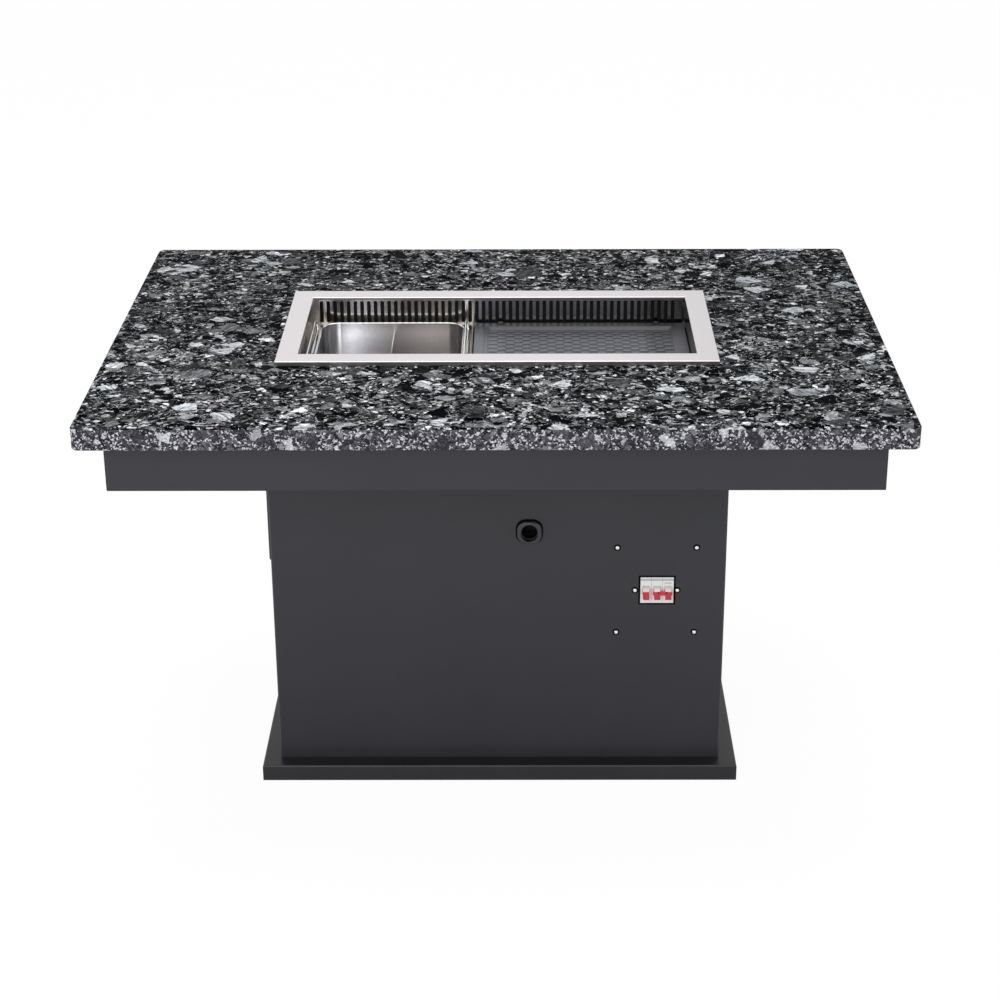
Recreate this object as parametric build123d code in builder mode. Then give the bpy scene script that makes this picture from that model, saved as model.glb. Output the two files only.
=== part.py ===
"""Hotpot and barbecue table with a downdraught smoke intake.

The origin is on the floor under the middle of the table. +X runs along the
table, +Y away from the side with the switches, and +Z up. Sizes are in mm.

A stone top with a stainless trim carries a slotted liner with two bays: a
divided pot on a hob, and a ribbed grill plate over a heater. Smoke is drawn
through the slots into a plenum, down through a filter drawer, and out by a
centrifugal fan and a duct through the base.
"""
import os
from math import cos, radians, sin

from build123d import *

os.makedirs("parts", exist_ok=True)

# ---------------------------------------------------------------- sizes, mm
# Stone top
table_length = 1200.0
table_depth = 800.0
table_height = 720.0  # floor to the top of the stone
slab_thickness = 20.0
edge_height = 34.0  # the edge is built up with a strip under the slab
edge_strip = 32.0
top_corner_radius = 12.0
top_edge_radius = 3.0
under_edge_chamfer = 1.5
cutout_clearance = 2.0  # stone to the stove casing

# Painted steel under the top
sheet = 1.5
bend_radius = 2.5
apron_height = 81.0
apron_overhang = 38.5  # stone edge to the apron's face
apron_flange = 22.0
bearer_width = 30.0
bearer_wall = 2.0
pedestal_return = 18.0  # folded edges of the front and back panels
post_leg = 28.0
post_wall = 2.0
post_gap = 5.0  # stove casing to the corner posts
plinth_height = 27.0
plinth_overhang = 27.0
plinth_return = 20.0

# Opening in the top, and its stainless trim
opening_length = 608.0
opening_depth = 255.0
trim_width = 32.5
trim_rise = 7.0
trim_sheet = 1.5
trim_edge_radius = 1.2
trim_flange_gap = 1.0  # casing flange to the trim's skirt

# Slotted liner
liner_sheet = 1.2
liner_depth = 182.5  # top of the stone to the liner's floor
liner_flange_inset = 4.0  # liner flange ends this far inside the casing's
slot_count = 53
slot_pitch = 11.07
slot_width = 6.0
slot_length = 37.0
slot_corner = 1.5
slot_top_rise = 0.5  # slot tops above the stone
slot_row_shift = -3.2
shelf_drop = 39.0  # top of the stone to the shelf that both bays share
shelf_lip = 12.0
pot_bay_length = 261.0
partition_wall = 2.0
partition_drop = 30.0

# Stove casing round the liner
casing_sheet = 1.5
plenum_gap_x = 17.3
plenum_gap_y = 15.8
plenum_gap_under = 30.0
casing_clearance = 2.5  # stove casing to the pedestal's panels
floor_clearance = 1.5  # stove casing to the apron's floor

# Hotpot
pot_gap_left = 14.3
pot_gap_right = 11.3
pot_gap_y = 19.3
pot_rim_drop = 30.0
pot_height = 95.0
pot_wall = 1.2
pot_rim = 2.5
pot_corner_radius = 30.7
pot_bottom_radius = 14.0
pot_bottom_chamfer = 9.0
deck_clearance = 2.5
divider_drop = 20.0
divider_wall = 1.2

# Pot handles: wire bails, each in a hinge sleeve under the rim
wire_radius = 2.0
wire_sides = 8
bail_top_half = 92.0
bail_bottom_half = 84.0
bail_height = 14.0
bail_bend = 5.0
hinge_offset = 4.5
hinge_drop = 4.0
hinge_radius = 4.0
hinge_length = 56.0
hinge_running_gap = 0.05
left_bail_lean = 16.0  # degrees outwards from upright
right_bail_lean = -14.0

# Hob under the pot
hob_length = 220.0
hob_depth = 190.0
hob_glass_thickness = 4.0
hob_glass_inset = 5.0
hob_corner_radius = 8.0

# Grill plate
plate_gap_x = 1.0
plate_gap_y = 9.0
plate_rim_thickness = 4.0
plate_rim_width = 15.0
plate_slope = 8.0
plate_sink = 4.5
plate_floor_thickness = 5.0
plate_wall = 3.0
plate_corner_radius = 8.0
rib_length = 15.0
rib_width = 4.5
rib_height = 1.8
rib_column_pitch = 13.3
rib_row_pitch = 17.4
rib_margin = 1.0
drain_length = 34.0
drain_width = 8.0
lug_width = 7.5
lug_depth = 3.0
lug_rise = 3.0
lug_spacing = 254.6
lug_shift = -2.0
ledge_overlap = 10.5

# Heater and water pan under the grill plate
tube_radius = 4.0
tube_sides = 8
heater_gap = 12.0  # heater to the underside of the plate
heater_pass = 50.0
heater_left_gap = 11.0
heater_right_turn = 245.0
heater_block_length = 18.0
heater_block_height = 20.0
heater_block_margin = 13.0
heater_rest_gap = 0.3
pan_length = 300.0
pan_depth = 210.0
pan_height = 30.0
pan_rim = 7.0
pan_corner_radius = 12.0

# Filter chamber and grease drawer
chamber_width = 224.0
chamber_height = 145.0
chamber_end = 110.0
chamber_flange = 8.0
chamber_mouth_margin = 12.0
drawer_front_width = 236.0
drawer_front_height = 160.0
drawer_front_proud = 6.5
drawer_front_rise = 12.0  # chamber floor to the front's lower edge
drawer_sheet = 1.2
drawer_overlap = 8.0
drawer_running_gap = 3.0
runner_leg = 10.5
runner_rise = 14.0
tray_height = 44.0
tray_end = -108.0
tray_corner_radius = 6.0
finger_slot_length = 90.0
finger_slot_height = 24.0
finger_slot_drop = 44.0
cassette_height = 24.0
cassette_inset = 12.0
cassette_slat = 17.0
cassette_slats = 7

# Fan
fan_x = 25.0
inlet_radius = 58.0
wheel_radius = 72.0
wheel_height = 52.0
wheel_gap = 8.0
scroll_step = 14.0
fan_height = 70.0
scroll_outlet_run = 13.0  # how far the outlet stands out past the scroll
tongue_setback = 12.0  # blunt tip where the outlet leaves the scroll
blade_count = 12
blade_wall = 1.5
wheel_sheet = 2.0
hub_radius = 14.0
shaft_radius = 5.0
shaft_running_gap = 0.05
shaft_clearance = 2.0
motor_radius = 48.0
motor_height = 72.0
motor_edge_chamfer = 4.0
motor_flange_radius = 58.0
motor_flange_thickness = 4.0
shaft_depth = 50.0  # length of shaft inside the motor

# Exhaust
duct_radius = 50.0  # inside
duct_y = 88.0
elbow_length = 112.0
elbow_depth = 106.0
spigot_length = 15.0
socket_radius = 52.0
socket_length = 40.0
socket_rise = 8.0  # floor to the mouth of the socket
duct_collar_width = 6.0
duct_collar_thickness = 2.0
duct_hole_gap = 0.5

# Switch panel and cable bushing
breaker_inset = 107.9  # pedestal's right edge to the middle of the window
breaker_z = 333.6
module_width = 17.5
module_gap = 0.1
breaker_nose = 45.0
breaker_body = 80.0
breaker_proud = 0.5
breaker_shoulder = 16.0
window_margin = 0.6
box_flange_x = 124.5
box_flange_z = 150.0
box_flange_margin = 6.5
box_shift_x = -1.4
box_width = 92.0
box_height = 108.0
box_depth = 72.0
side_screw_spacing = 67.0
rail_width = 35.0
rail_depth = 7.5
rail_wall = 1.0
rail_hat = 25.0
lever_pivot_depth = 1.0
lever_hub_radius = 7.0
lever_slot_half = 7.6
lever_width = 9.6
lever_slot_gap = 0.4
lever_reach = 16.0
lever_thickness = 6.0
lever_rest = 40.0  # degrees below level, switched off
tie_start = 4.3  # pivot to the back of the bar that ties two levers
tie_height = 6.0
tie_thickness = 4.0
tie_overhang = 1.75
screw_head_radius = 3.3
screw_head_height = 2.2
screw_radius = 1.9
screw_sides = 8
screw_head_sides = 12
screw_length = 6.0
back_screw_spacing = 215.0
bushing_x = 48.7
bushing_drop = 169.8  # top of the pedestal to the bushing
bushing_width = 39.0
bushing_corner_radius = 13.0
bushing_thickness = 8.0
bushing_edge_chamfer = 2.2
bushing_bore_radius = 12.2
bushing_neck_radius = 14.5
bushing_neck_length = 16.0
nut_radius = 20.0
nut_thickness = 6.0

# ------------------------------------------------------ levels and outlines
stone_bottom = table_height - edge_height
slab_bottom = table_height - slab_thickness
apron_bottom = stone_bottom - apron_height
apron_floor_bottom = apron_bottom + sheet
bearer_bottom = apron_floor_bottom + sheet
pedestal_top = apron_floor_bottom
pedestal_height = pedestal_top - plinth_height

opening_x = opening_length / 2
opening_y = opening_depth / 2
trim_x = opening_x + trim_width
trim_y = opening_y + trim_width
trim_top = table_height + trim_rise
casing_flange_top = table_height + casing_sheet
liner_top = casing_flange_top + liner_sheet
liner_floor_top = table_height - liner_depth
liner_floor_bottom = liner_floor_top - liner_sheet

casing_inner_x = opening_x + liner_sheet + plenum_gap_x
casing_inner_y = opening_y + liner_sheet + plenum_gap_y
casing_x = casing_inner_x + casing_sheet
casing_y = casing_inner_y + casing_sheet
casing_flange_x = trim_x - trim_sheet - trim_flange_gap
casing_flange_y = trim_y - trim_sheet - trim_flange_gap
casing_floor_top = liner_floor_bottom - plenum_gap_under
casing_bottom = casing_floor_top - casing_sheet
cutout_length = 2 * (casing_x + cutout_clearance)
cutout_depth = 2 * (casing_y + cutout_clearance)

pedestal_x = casing_x + post_gap + post_leg + sheet
pedestal_y = casing_y + casing_clearance + sheet
apron_x = table_length / 2 - apron_overhang
apron_y = table_depth / 2 - apron_overhang
plinth_length = 2 * (pedestal_x + plinth_overhang)
plinth_depth = 2 * (pedestal_y + plinth_overhang)
bearer_x = casing_x + post_gap
bearer_y = casing_y + casing_clearance

shelf_top = table_height - shelf_drop
shelf_bottom = shelf_top - liner_sheet
partition_left = -opening_x + pot_bay_length
partition_right = partition_left + partition_wall
partition_top = table_height - partition_drop

chamber_y = chamber_width / 2
chamber_inner_y = chamber_y - casing_sheet
chamber_top = casing_bottom
chamber_bottom = chamber_top - chamber_height
chamber_floor_top = chamber_bottom + casing_sheet
chamber_start = -pedestal_x + sheet

# ================================================================ stone top
# The slab's edge is built up with a strip, and the board fills the rest.
with BuildPart() as table_top:
    with BuildSketch(Plane.XY.offset(slab_bottom)):
        RectangleRounded(table_length, table_depth, top_corner_radius)
        Rectangle(cutout_length, cutout_depth, mode=Mode.SUBTRACT)
    extrude(amount=slab_thickness)
    with BuildSketch(Plane.XY.offset(stone_bottom)):
        RectangleRounded(table_length, table_depth, top_corner_radius)
        Rectangle(
            table_length - 2 * edge_strip,
            table_depth - 2 * edge_strip,
            mode=Mode.SUBTRACT,
        )
    extrude(amount=edge_height - slab_thickness)
    top_rim = table_top.faces().sort_by(Axis.Z)[-1].outer_wire().edges()
    fillet(top_rim, radius=top_edge_radius)
    lower_rim = table_top.faces().sort_by(Axis.Z)[0].outer_wire().edges()
    chamfer(lower_rim, length=under_edge_chamfer)
table_top.part.label = "table_top"
export_step(table_top.part, "parts/table_top.step")

with BuildPart() as backer_board:
    with BuildSketch(Plane.XY.offset(stone_bottom)):
        Rectangle(table_length - 2 * edge_strip, table_depth - 2 * edge_strip)
        Rectangle(cutout_length, cutout_depth, mode=Mode.SUBTRACT)
    extrude(amount=edge_height - slab_thickness)
backer_board.part.label = "backer_board"
export_step(backer_board.part, "parts/backer_board.step")

# The trim is one pressed frame: a flat rim, a skirt that stands on the stone
# and a short lip that stands on the liner's flange.
with BuildPart() as trim_frame:
    with BuildSketch(Plane.XY.offset(trim_top - trim_sheet)):
        Rectangle(2 * trim_x, 2 * trim_y)
        Rectangle(opening_length, opening_depth, mode=Mode.SUBTRACT)
    extrude(amount=trim_sheet)
    with BuildSketch(Plane.XY.offset(table_height)):
        Rectangle(2 * trim_x, 2 * trim_y)
        Rectangle(
            2 * (trim_x - trim_sheet), 2 * (trim_y - trim_sheet), mode=Mode.SUBTRACT
        )
    extrude(amount=trim_rise - trim_sheet)
    with BuildSketch(Plane.XY.offset(liner_top)):
        Rectangle(2 * (opening_x + trim_sheet), 2 * (opening_y + trim_sheet))
        Rectangle(opening_length, opening_depth, mode=Mode.SUBTRACT)
    extrude(amount=trim_top - trim_sheet - liner_top)
    rim_face = trim_frame.faces().sort_by(Axis.Z)[-1]
    fillet(rim_face.edges(), radius=trim_edge_radius)
trim_frame.part.label = "trim_frame"
export_step(trim_frame.part, "parts/trim_frame.step")

# ==================================================================== apron
# Four folded channels with mitred corners, open towards the middle.
apron_rails = (
    ("apron_front", apron_x, apron_y, 0),
    ("apron_right", apron_y, apron_x, 90),
    ("apron_back", apron_x, apron_y, 180),
    ("apron_left", apron_y, apron_x, 270),
)
for rail_name, half_run, face_distance, turn in apron_rails:
    facing = Plane.XY.rotated((0, 0, turn))
    profile_plane = Plane(origin=(0, 0, 0), x_dir=facing.y_dir, z_dir=facing.x_dir)
    with BuildPart() as apron_rail:
        with BuildSketch(profile_plane) as channel:
            with Locations((-face_distance, apron_bottom)):
                Rectangle(apron_flange, apron_height, align=(Align.MIN, Align.MIN))
            fillet(channel.vertices().group_by(Axis.X)[0], radius=bend_radius)
            with Locations((-face_distance + sheet, apron_bottom + sheet)):
                Rectangle(
                    apron_flange,
                    apron_height - 2 * sheet,
                    align=(Align.MIN, Align.MIN),
                    mode=Mode.SUBTRACT,
                )
        extrude(amount=half_run, both=True)
        for end in (-1, 1):
            corner = facing.from_local_coords(Vector(end * half_run, -face_distance, 0))
            outwards = facing.x_dir * end + facing.y_dir
            split(bisect_by=Plane(origin=corner, z_dir=outwards), keep=Keep.BOTTOM)
    apron_rail.part.label = rail_name
    export_step(apron_rail.part, f"parts/{rail_name}.step")

with BuildPart() as apron_floor:
    with BuildSketch(Plane.XY.offset(apron_floor_bottom)):
        Rectangle(2 * (apron_x - sheet), 2 * (apron_y - sheet))
        Rectangle(
            2 * (casing_x + floor_clearance),
            2 * (casing_y + floor_clearance),
            mode=Mode.SUBTRACT,
        )
    extrude(amount=sheet)
apron_floor.part.label = "apron_floor"
export_step(apron_floor.part, "parts/apron_floor.step")

# Box-section bearers frame the stove casing and carry the board.
bearer_height = stone_bottom - bearer_bottom
with BuildPart() as cross_bearers:
    with BuildSketch(Plane.XZ.offset(apron_y - apron_flange)):
        with Locations((bearer_x, bearer_bottom)):
            Rectangle(bearer_width, bearer_height, align=(Align.MIN, Align.MIN))
        with Locations((bearer_x + bearer_wall, bearer_bottom + bearer_wall)):
            Rectangle(
                bearer_width - 2 * bearer_wall,
                bearer_height - 2 * bearer_wall,
                align=(Align.MIN, Align.MIN),
                mode=Mode.SUBTRACT,
            )
    extrude(amount=-2 * (apron_y - apron_flange))
    mirror(about=Plane.YZ)
cross_bearers.part.label = "cross_bearers"
export_step(cross_bearers.part, "parts/cross_bearers.step")

with BuildPart() as long_bearers:
    with BuildSketch(Plane.YZ.offset(-bearer_x)):
        with Locations((bearer_y, bearer_bottom)):
            Rectangle(bearer_width, bearer_height, align=(Align.MIN, Align.MIN))
        with Locations((bearer_y + bearer_wall, bearer_bottom + bearer_wall)):
            Rectangle(
                bearer_width - 2 * bearer_wall,
                bearer_height - 2 * bearer_wall,
                align=(Align.MIN, Align.MIN),
                mode=Mode.SUBTRACT,
            )
    extrude(amount=2 * bearer_x)
    mirror(about=Plane.XZ)
long_bearers.part.label = "long_bearers"
export_step(long_bearers.part, "parts/long_bearers.step")

# ================================================================= pedestal
# Switches sit in a window of the front panel, a cable bushing above them.
switch_x = pedestal_x - breaker_inset
window_width = 3 * module_width + 2 * window_margin
window_height = breaker_nose + 2 * window_margin
box_x = switch_x + box_shift_x
bushing_z = pedestal_top - bushing_drop
panel_screw_places = [
    (box_x + side * box_flange_x / 2, breaker_z + up * box_flange_z / 2)
    for side in (-1, 1)
    for up in (-1, 1)
]
panel_screw_places += [
    (box_x + side * side_screw_spacing / 2, breaker_z) for side in (-1, 1)
]
back_screw_x = pedestal_x - sheet - post_leg / 2
back_screw_z = (plinth_height + pedestal_top) / 2
back_screw_places = [
    (side * back_screw_x, back_screw_z + row * back_screw_spacing)
    for side in (-1, 1)
    for row in (-1, 0, 1)
]

with BuildPart() as pedestal_front:
    with BuildSketch(Plane.XY.offset(plinth_height)) as front_fold:
        with Locations((0, -pedestal_y)):
            Rectangle(2 * pedestal_x, pedestal_return, align=(Align.CENTER, Align.MIN))
        fillet(front_fold.vertices().group_by(Axis.Y)[0], radius=bend_radius)
        with Locations((0, -pedestal_y + sheet)):
            Rectangle(
                2 * (pedestal_x - sheet),
                pedestal_return,
                align=(Align.CENTER, Align.MIN),
                mode=Mode.SUBTRACT,
            )
    extrude(amount=pedestal_height)
    with BuildSketch(Plane.XZ.offset(pedestal_y)):
        with Locations((switch_x, breaker_z)):
            Rectangle(window_width, window_height)
        with Locations((bushing_x, bushing_z)):
            Circle(bushing_neck_radius)
        with Locations(*panel_screw_places):
            RegularPolygon(screw_radius, screw_sides)
    extrude(amount=-sheet, mode=Mode.SUBTRACT)
pedestal_front.part.label = "pedestal_front"
export_step(pedestal_front.part, "parts/pedestal_front.step")

with BuildPart() as pedestal_back:
    with BuildSketch(Plane.XY.offset(plinth_height)) as back_fold:
        with Locations((0, pedestal_y)):
            Rectangle(2 * pedestal_x, pedestal_return, align=(Align.CENTER, Align.MAX))
        fillet(back_fold.vertices().group_by(Axis.Y)[-1], radius=bend_radius)
        with Locations((0, pedestal_y - sheet)):
            Rectangle(
                2 * (pedestal_x - sheet),
                pedestal_return,
                align=(Align.CENTER, Align.MAX),
                mode=Mode.SUBTRACT,
            )
    extrude(amount=pedestal_height)
    with BuildSketch(Plane.XZ.offset(-pedestal_y)):
        with Locations(*back_screw_places):
            RegularPolygon(screw_radius, screw_sides)
    extrude(amount=sheet, mode=Mode.SUBTRACT)
pedestal_back.part.label = "pedestal_back"
export_step(pedestal_back.part, "parts/pedestal_back.step")

drawer_front_bottom = chamber_bottom + drawer_front_rise
drawer_mouth_bottom = drawer_front_bottom + drawer_overlap
drawer_mouth_top = chamber_top - casing_sheet
drawer_mouth_y = chamber_inner_y - drawer_running_gap
side_panel_width = 2 * (pedestal_y - pedestal_return)
for side_name, side in (("pedestal_left", -1), ("pedestal_right", 1)):
    with BuildPart() as side_panel:
        with BuildSketch(Plane.YZ.offset(side * pedestal_x)):
            with Locations((0, plinth_height)):
                Rectangle(
                    side_panel_width,
                    pedestal_height,
                    align=(Align.CENTER, Align.MIN),
                )
            if side < 0:
                with Locations((0, drawer_mouth_bottom)):
                    Rectangle(
                        2 * drawer_mouth_y,
                        drawer_mouth_top - drawer_mouth_bottom,
                        align=(Align.CENTER, Align.MIN),
                        mode=Mode.SUBTRACT,
                    )
        extrude(amount=-side * sheet)
    side_panel.part.label = side_name
    export_step(side_panel.part, f"parts/{side_name}.step")

post_x = pedestal_x - sheet
post_y = pedestal_y - sheet
with BuildPart() as corner_posts:
    with BuildSketch(Plane.XY.offset(plinth_height)):
        with Locations((post_x, post_y)):
            Rectangle(post_leg, post_leg, align=(Align.MAX, Align.MAX))
        with Locations((post_x - post_wall, post_y - post_wall)):
            Rectangle(
                post_leg, post_leg, align=(Align.MAX, Align.MAX), mode=Mode.SUBTRACT
            )
    extrude(amount=pedestal_height)
    mirror(about=Plane.YZ)
    mirror(about=Plane.XZ)
    with BuildSketch(Plane.XZ.offset(-post_y)):
        with Locations(*back_screw_places):
            RegularPolygon(screw_radius, screw_sides)
    extrude(amount=post_wall, mode=Mode.SUBTRACT)
corner_posts.part.label = "corner_posts"
export_step(corner_posts.part, "parts/corner_posts.step")

# The plinth is a folded tray, open below, with a return flange on the floor.
scroll_radii = [wheel_radius + wheel_gap + step * scroll_step for step in range(4)]
outlet_x = fan_x - scroll_step / 2 - scroll_radii[0] - scroll_outlet_run
duct_x = outlet_x - elbow_length / 2
with BuildPart() as base_plinth:
    with BuildSketch(Plane.XY):
        Rectangle(plinth_length, plinth_depth)
    extrude(amount=plinth_height)
    fillet(base_plinth.faces().sort_by(Axis.Z)[-1].edges(), radius=bend_radius)
    with BuildSketch(Plane.XY):
        Rectangle(plinth_length - 2 * sheet, plinth_depth - 2 * sheet)
    extrude(amount=plinth_height - sheet, mode=Mode.SUBTRACT)
    with BuildSketch(Plane.XY):
        Rectangle(plinth_length, plinth_depth)
        Rectangle(
            plinth_length - 2 * plinth_return,
            plinth_depth - 2 * plinth_return,
            mode=Mode.SUBTRACT,
        )
    extrude(amount=sheet)
    with BuildSketch(Plane.XY.offset(plinth_height - sheet)):
        with Locations((duct_x, duct_y)):
            Circle(socket_radius + sheet + duct_hole_gap)
    extrude(amount=sheet, mode=Mode.SUBTRACT)
base_plinth.part.label = "base_plinth"
export_step(base_plinth.part, "parts/base_plinth.step")

# ============================================================ slotted liner
slot_middle = table_height + slot_top_rise - slot_length / 2
liner_wall_height = liner_top - liner_floor_top
liner_flange_x = casing_flange_x - liner_flange_inset
liner_flange_y = casing_flange_y - liner_flange_inset
with BuildSketch(mode=Mode.PRIVATE) as slot_outline:
    Rectangle(slot_width, slot_length)
    chamfer(slot_outline.vertices(), length=slot_corner)

for wall_name, side in (("intake_wall_front", -1), ("intake_wall_back", 1)):
    inner_face = Plane.XZ.offset(-side * opening_y)
    with BuildPart() as intake_wall:
        with BuildSketch(inner_face):
            with Locations((0, liner_floor_top)):
                Rectangle(
                    2 * (opening_x + liner_sheet),
                    liner_wall_height,
                    align=(Align.CENTER, Align.MIN),
                )
            with Locations((slot_row_shift, slot_middle)):
                with GridLocations(slot_pitch, 1, slot_count, 1):
                    add(slot_outline.sketch, mode=Mode.SUBTRACT)
        extrude(amount=-side * liner_sheet)
        with BuildSketch(inner_face):
            with Locations((0, liner_top)):
                Rectangle(
                    2 * (opening_x + liner_sheet),
                    liner_sheet,
                    align=(Align.CENTER, Align.MAX),
                )
        extrude(amount=-side * (liner_flange_y - opening_y))
    intake_wall.part.label = wall_name
    export_step(intake_wall.part, f"parts/{wall_name}.step")

for wall_name, side in (("liner_end_left", -1), ("liner_end_right", 1)):
    inner_face = Plane.YZ.offset(side * opening_x)
    with BuildPart() as liner_end:
        with BuildSketch(inner_face):
            with Locations((0, liner_floor_top)):
                Rectangle(
                    opening_depth, liner_wall_height, align=(Align.CENTER, Align.MIN)
                )
        extrude(amount=side * liner_sheet)
        with BuildSketch(inner_face):
            with Locations((0, liner_top)):
                Rectangle(opening_depth, liner_sheet, align=(Align.CENTER, Align.MAX))
        extrude(amount=side * (liner_flange_x - opening_x))
    liner_end.part.label = wall_name
    export_step(liner_end.part, f"parts/{wall_name}.step")

with BuildPart() as liner_floor:
    with BuildSketch(Plane.XY.offset(liner_floor_bottom)):
        Rectangle(2 * (opening_x + liner_sheet), 2 * (opening_y + liner_sheet))
    extrude(amount=liner_sheet)
liner_floor.part.label = "liner_floor"
export_step(liner_floor.part, "parts/liner_floor.step")

with BuildPart() as bay_partition:
    with BuildSketch(Plane.YZ.offset(partition_left)):
        with Locations((0, liner_floor_top)):
            Rectangle(
                opening_depth,
                partition_top - liner_floor_top,
                align=(Align.CENTER, Align.MIN),
            )
    extrude(amount=partition_wall)
    top_edges = bay_partition.faces().sort_by(Axis.Z)[-1].edges().filter_by(Axis.Y)
    fillet(top_edges, radius=partition_wall * 0.4)
bay_partition.part.label = "bay_partition"
export_step(bay_partition.part, "parts/bay_partition.step")

# ================================================================== hotpot
pot_left = -opening_x + pot_gap_left
pot_right = partition_left - pot_gap_right
pot_x = (pot_left + pot_right) / 2
pot_length = pot_right - pot_left
pot_depth = opening_depth - 2 * pot_gap_y
pot_rim_top = table_height - pot_rim_drop
pot_bottom = pot_rim_top - pot_height
shell_length = pot_length - 2 * pot_rim
shell_depth = pot_depth - 2 * pot_rim
shell_radius = pot_corner_radius - pot_rim

# A flat deck closes the pot bay round the pot at the level of the slots' ends.
with BuildPart() as pot_deck:
    with BuildSketch(Plane.XY.offset(shelf_bottom)):
        with Locations((-opening_x, 0)):
            Rectangle(pot_bay_length, opening_depth, align=(Align.MIN, Align.CENTER))
        with Locations((pot_x, 0)):
            RectangleRounded(
                shell_length + 2 * deck_clearance,
                shell_depth + 2 * deck_clearance,
                shell_radius + deck_clearance,
                mode=Mode.SUBTRACT,
            )
    extrude(amount=liner_sheet)
    with BuildSketch(Plane.XY.offset(shelf_bottom)):
        with Locations((-opening_x, 0)):
            Rectangle(pot_bay_length, opening_depth, align=(Align.MIN, Align.CENTER))
            Rectangle(
                pot_bay_length,
                opening_depth - 2 * liner_sheet,
                align=(Align.MIN, Align.CENTER),
                mode=Mode.SUBTRACT,
            )
    extrude(amount=-shelf_lip)
pot_deck.part.label = "pot_deck"
export_step(pot_deck.part, "parts/pot_deck.step")

# The space inside the pot shapes both its shell and its divider.
with BuildPart() as pot_space:
    with BuildSketch(Plane.XY.offset(pot_rim_top)):
        with Locations((pot_x, 0)):
            RectangleRounded(
                shell_length - 2 * pot_wall,
                shell_depth - 2 * pot_wall,
                shell_radius - pot_wall,
            )
    extrude(amount=-(pot_height - pot_wall))
    fillet(pot_space.faces().sort_by(Axis.Z)[0].edges(), radius=pot_bottom_radius)

# Deep-drawn shell with a turned-out rim.
with BuildPart() as hotpot_body:
    with BuildSketch(Plane.XY.offset(pot_rim_top)):
        with Locations((pot_x, 0)):
            RectangleRounded(shell_length, shell_depth, shell_radius)
    extrude(amount=-pot_height)
    chamfer(
        hotpot_body.faces().sort_by(Axis.Z)[0].edges(), length=pot_bottom_chamfer
    )
    with BuildSketch(Plane.XY.offset(pot_rim_top)):
        with Locations((pot_x, 0)):
            RectangleRounded(pot_length, pot_depth, pot_corner_radius)
    extrude(amount=-pot_rim)
    chamfer(
        hotpot_body.faces().sort_by(Axis.Z)[-1].outer_wire().edges(),
        length=pot_rim * 0.3,
    )
    add(pot_space.part, mode=Mode.SUBTRACT)
hotpot_body.part.label = "hotpot_body"
export_step(hotpot_body.part, "parts/hotpot_body.step")

# The divider stands on the pot's floor and follows its walls.
with BuildPart() as pot_divider:
    with BuildSketch(Plane.XY.offset(pot_bottom)):
        with Locations((pot_x, 0)):
            Rectangle(divider_wall, pot_depth)
    extrude(amount=pot_height - divider_drop)
    add(pot_space.part, mode=Mode.INTERSECT)
pot_divider.part.label = "pot_divider"
export_step(pot_divider.part, "parts/pot_divider.step")

hinge_z = pot_rim_top - hinge_drop
left_hinge_x = pot_left - hinge_offset
right_hinge_x = pot_right + hinge_offset
hinge_bore = wire_radius + hinge_running_gap
with BuildPart() as handle_hinges:
    for hinge_x, shell_x in (
        (left_hinge_x, pot_left + pot_rim),
        (right_hinge_x, pot_right - pot_rim),
    ):
        with BuildSketch(Plane.XZ.offset(-hinge_length / 2)):
            with Locations((hinge_x, hinge_z)):
                Circle(hinge_radius)
            with Locations(((hinge_x + shell_x) / 2, hinge_z - hinge_radius / 2)):
                Rectangle(abs(shell_x - hinge_x), hinge_radius)
            with Locations((hinge_x, hinge_z)):
                Circle(hinge_bore, mode=Mode.SUBTRACT)
        extrude(amount=hinge_length)
handle_hinges.part.label = "handle_hinges"
export_step(handle_hinges.part, "parts/handle_hinges.step")

for handle_name, hinge_x, lean, side in (
    ("pot_handle_left", left_hinge_x, left_bail_lean, -1),
    ("pot_handle_right", right_hinge_x, right_bail_lean, 1),
):
    tilt = radians(lean)
    bail_plane = Plane(
        origin=(hinge_x, 0, hinge_z),
        x_dir=(0, 1, 0),
        z_dir=(cos(tilt), 0, -side * sin(tilt)),
    )
    with BuildPart() as bail:
        with BuildLine(bail_plane) as half_loop:
            FilletPolyline(
                (0, 0),
                (bail_bottom_half, 0),
                (bail_top_half, bail_height),
                (0, bail_height),
                radius=bail_bend,
            )
        with BuildSketch(Plane.XZ):
            with Locations((hinge_x, hinge_z)):
                RegularPolygon(wire_radius, wire_sides)
        sweep(path=half_loop.line)
        mirror(about=Plane.XZ)
    bail.part.label = handle_name
    export_step(bail.part, f"parts/{handle_name}.step")

# ===================================================================== hob
hob_top = pot_bottom
hob_body_height = hob_top - liner_floor_top
with BuildPart() as hob_body:
    with BuildSketch(Plane.XY.offset(liner_floor_top)):
        with Locations((pot_x, 0)):
            RectangleRounded(hob_length, hob_depth, hob_corner_radius)
    extrude(amount=hob_body_height)
    with BuildSketch(Plane.XY.offset(hob_top)):
        with Locations((pot_x, 0)):
            Rectangle(hob_length - 2 * hob_glass_inset, hob_depth - 2 * hob_glass_inset)
    extrude(amount=-hob_glass_thickness, mode=Mode.SUBTRACT)
hob_body.part.label = "hob_body"
export_step(hob_body.part, "parts/hob_body.step")

with BuildPart() as hob_glass:
    with BuildSketch(Plane.XY.offset(hob_top)):
        with Locations((pot_x, 0)):
            Rectangle(hob_length - 2 * hob_glass_inset, hob_depth - 2 * hob_glass_inset)
    extrude(amount=-hob_glass_thickness)
hob_glass.part.label = "hob_glass"
export_step(hob_glass.part, "parts/hob_glass.step")

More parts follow.
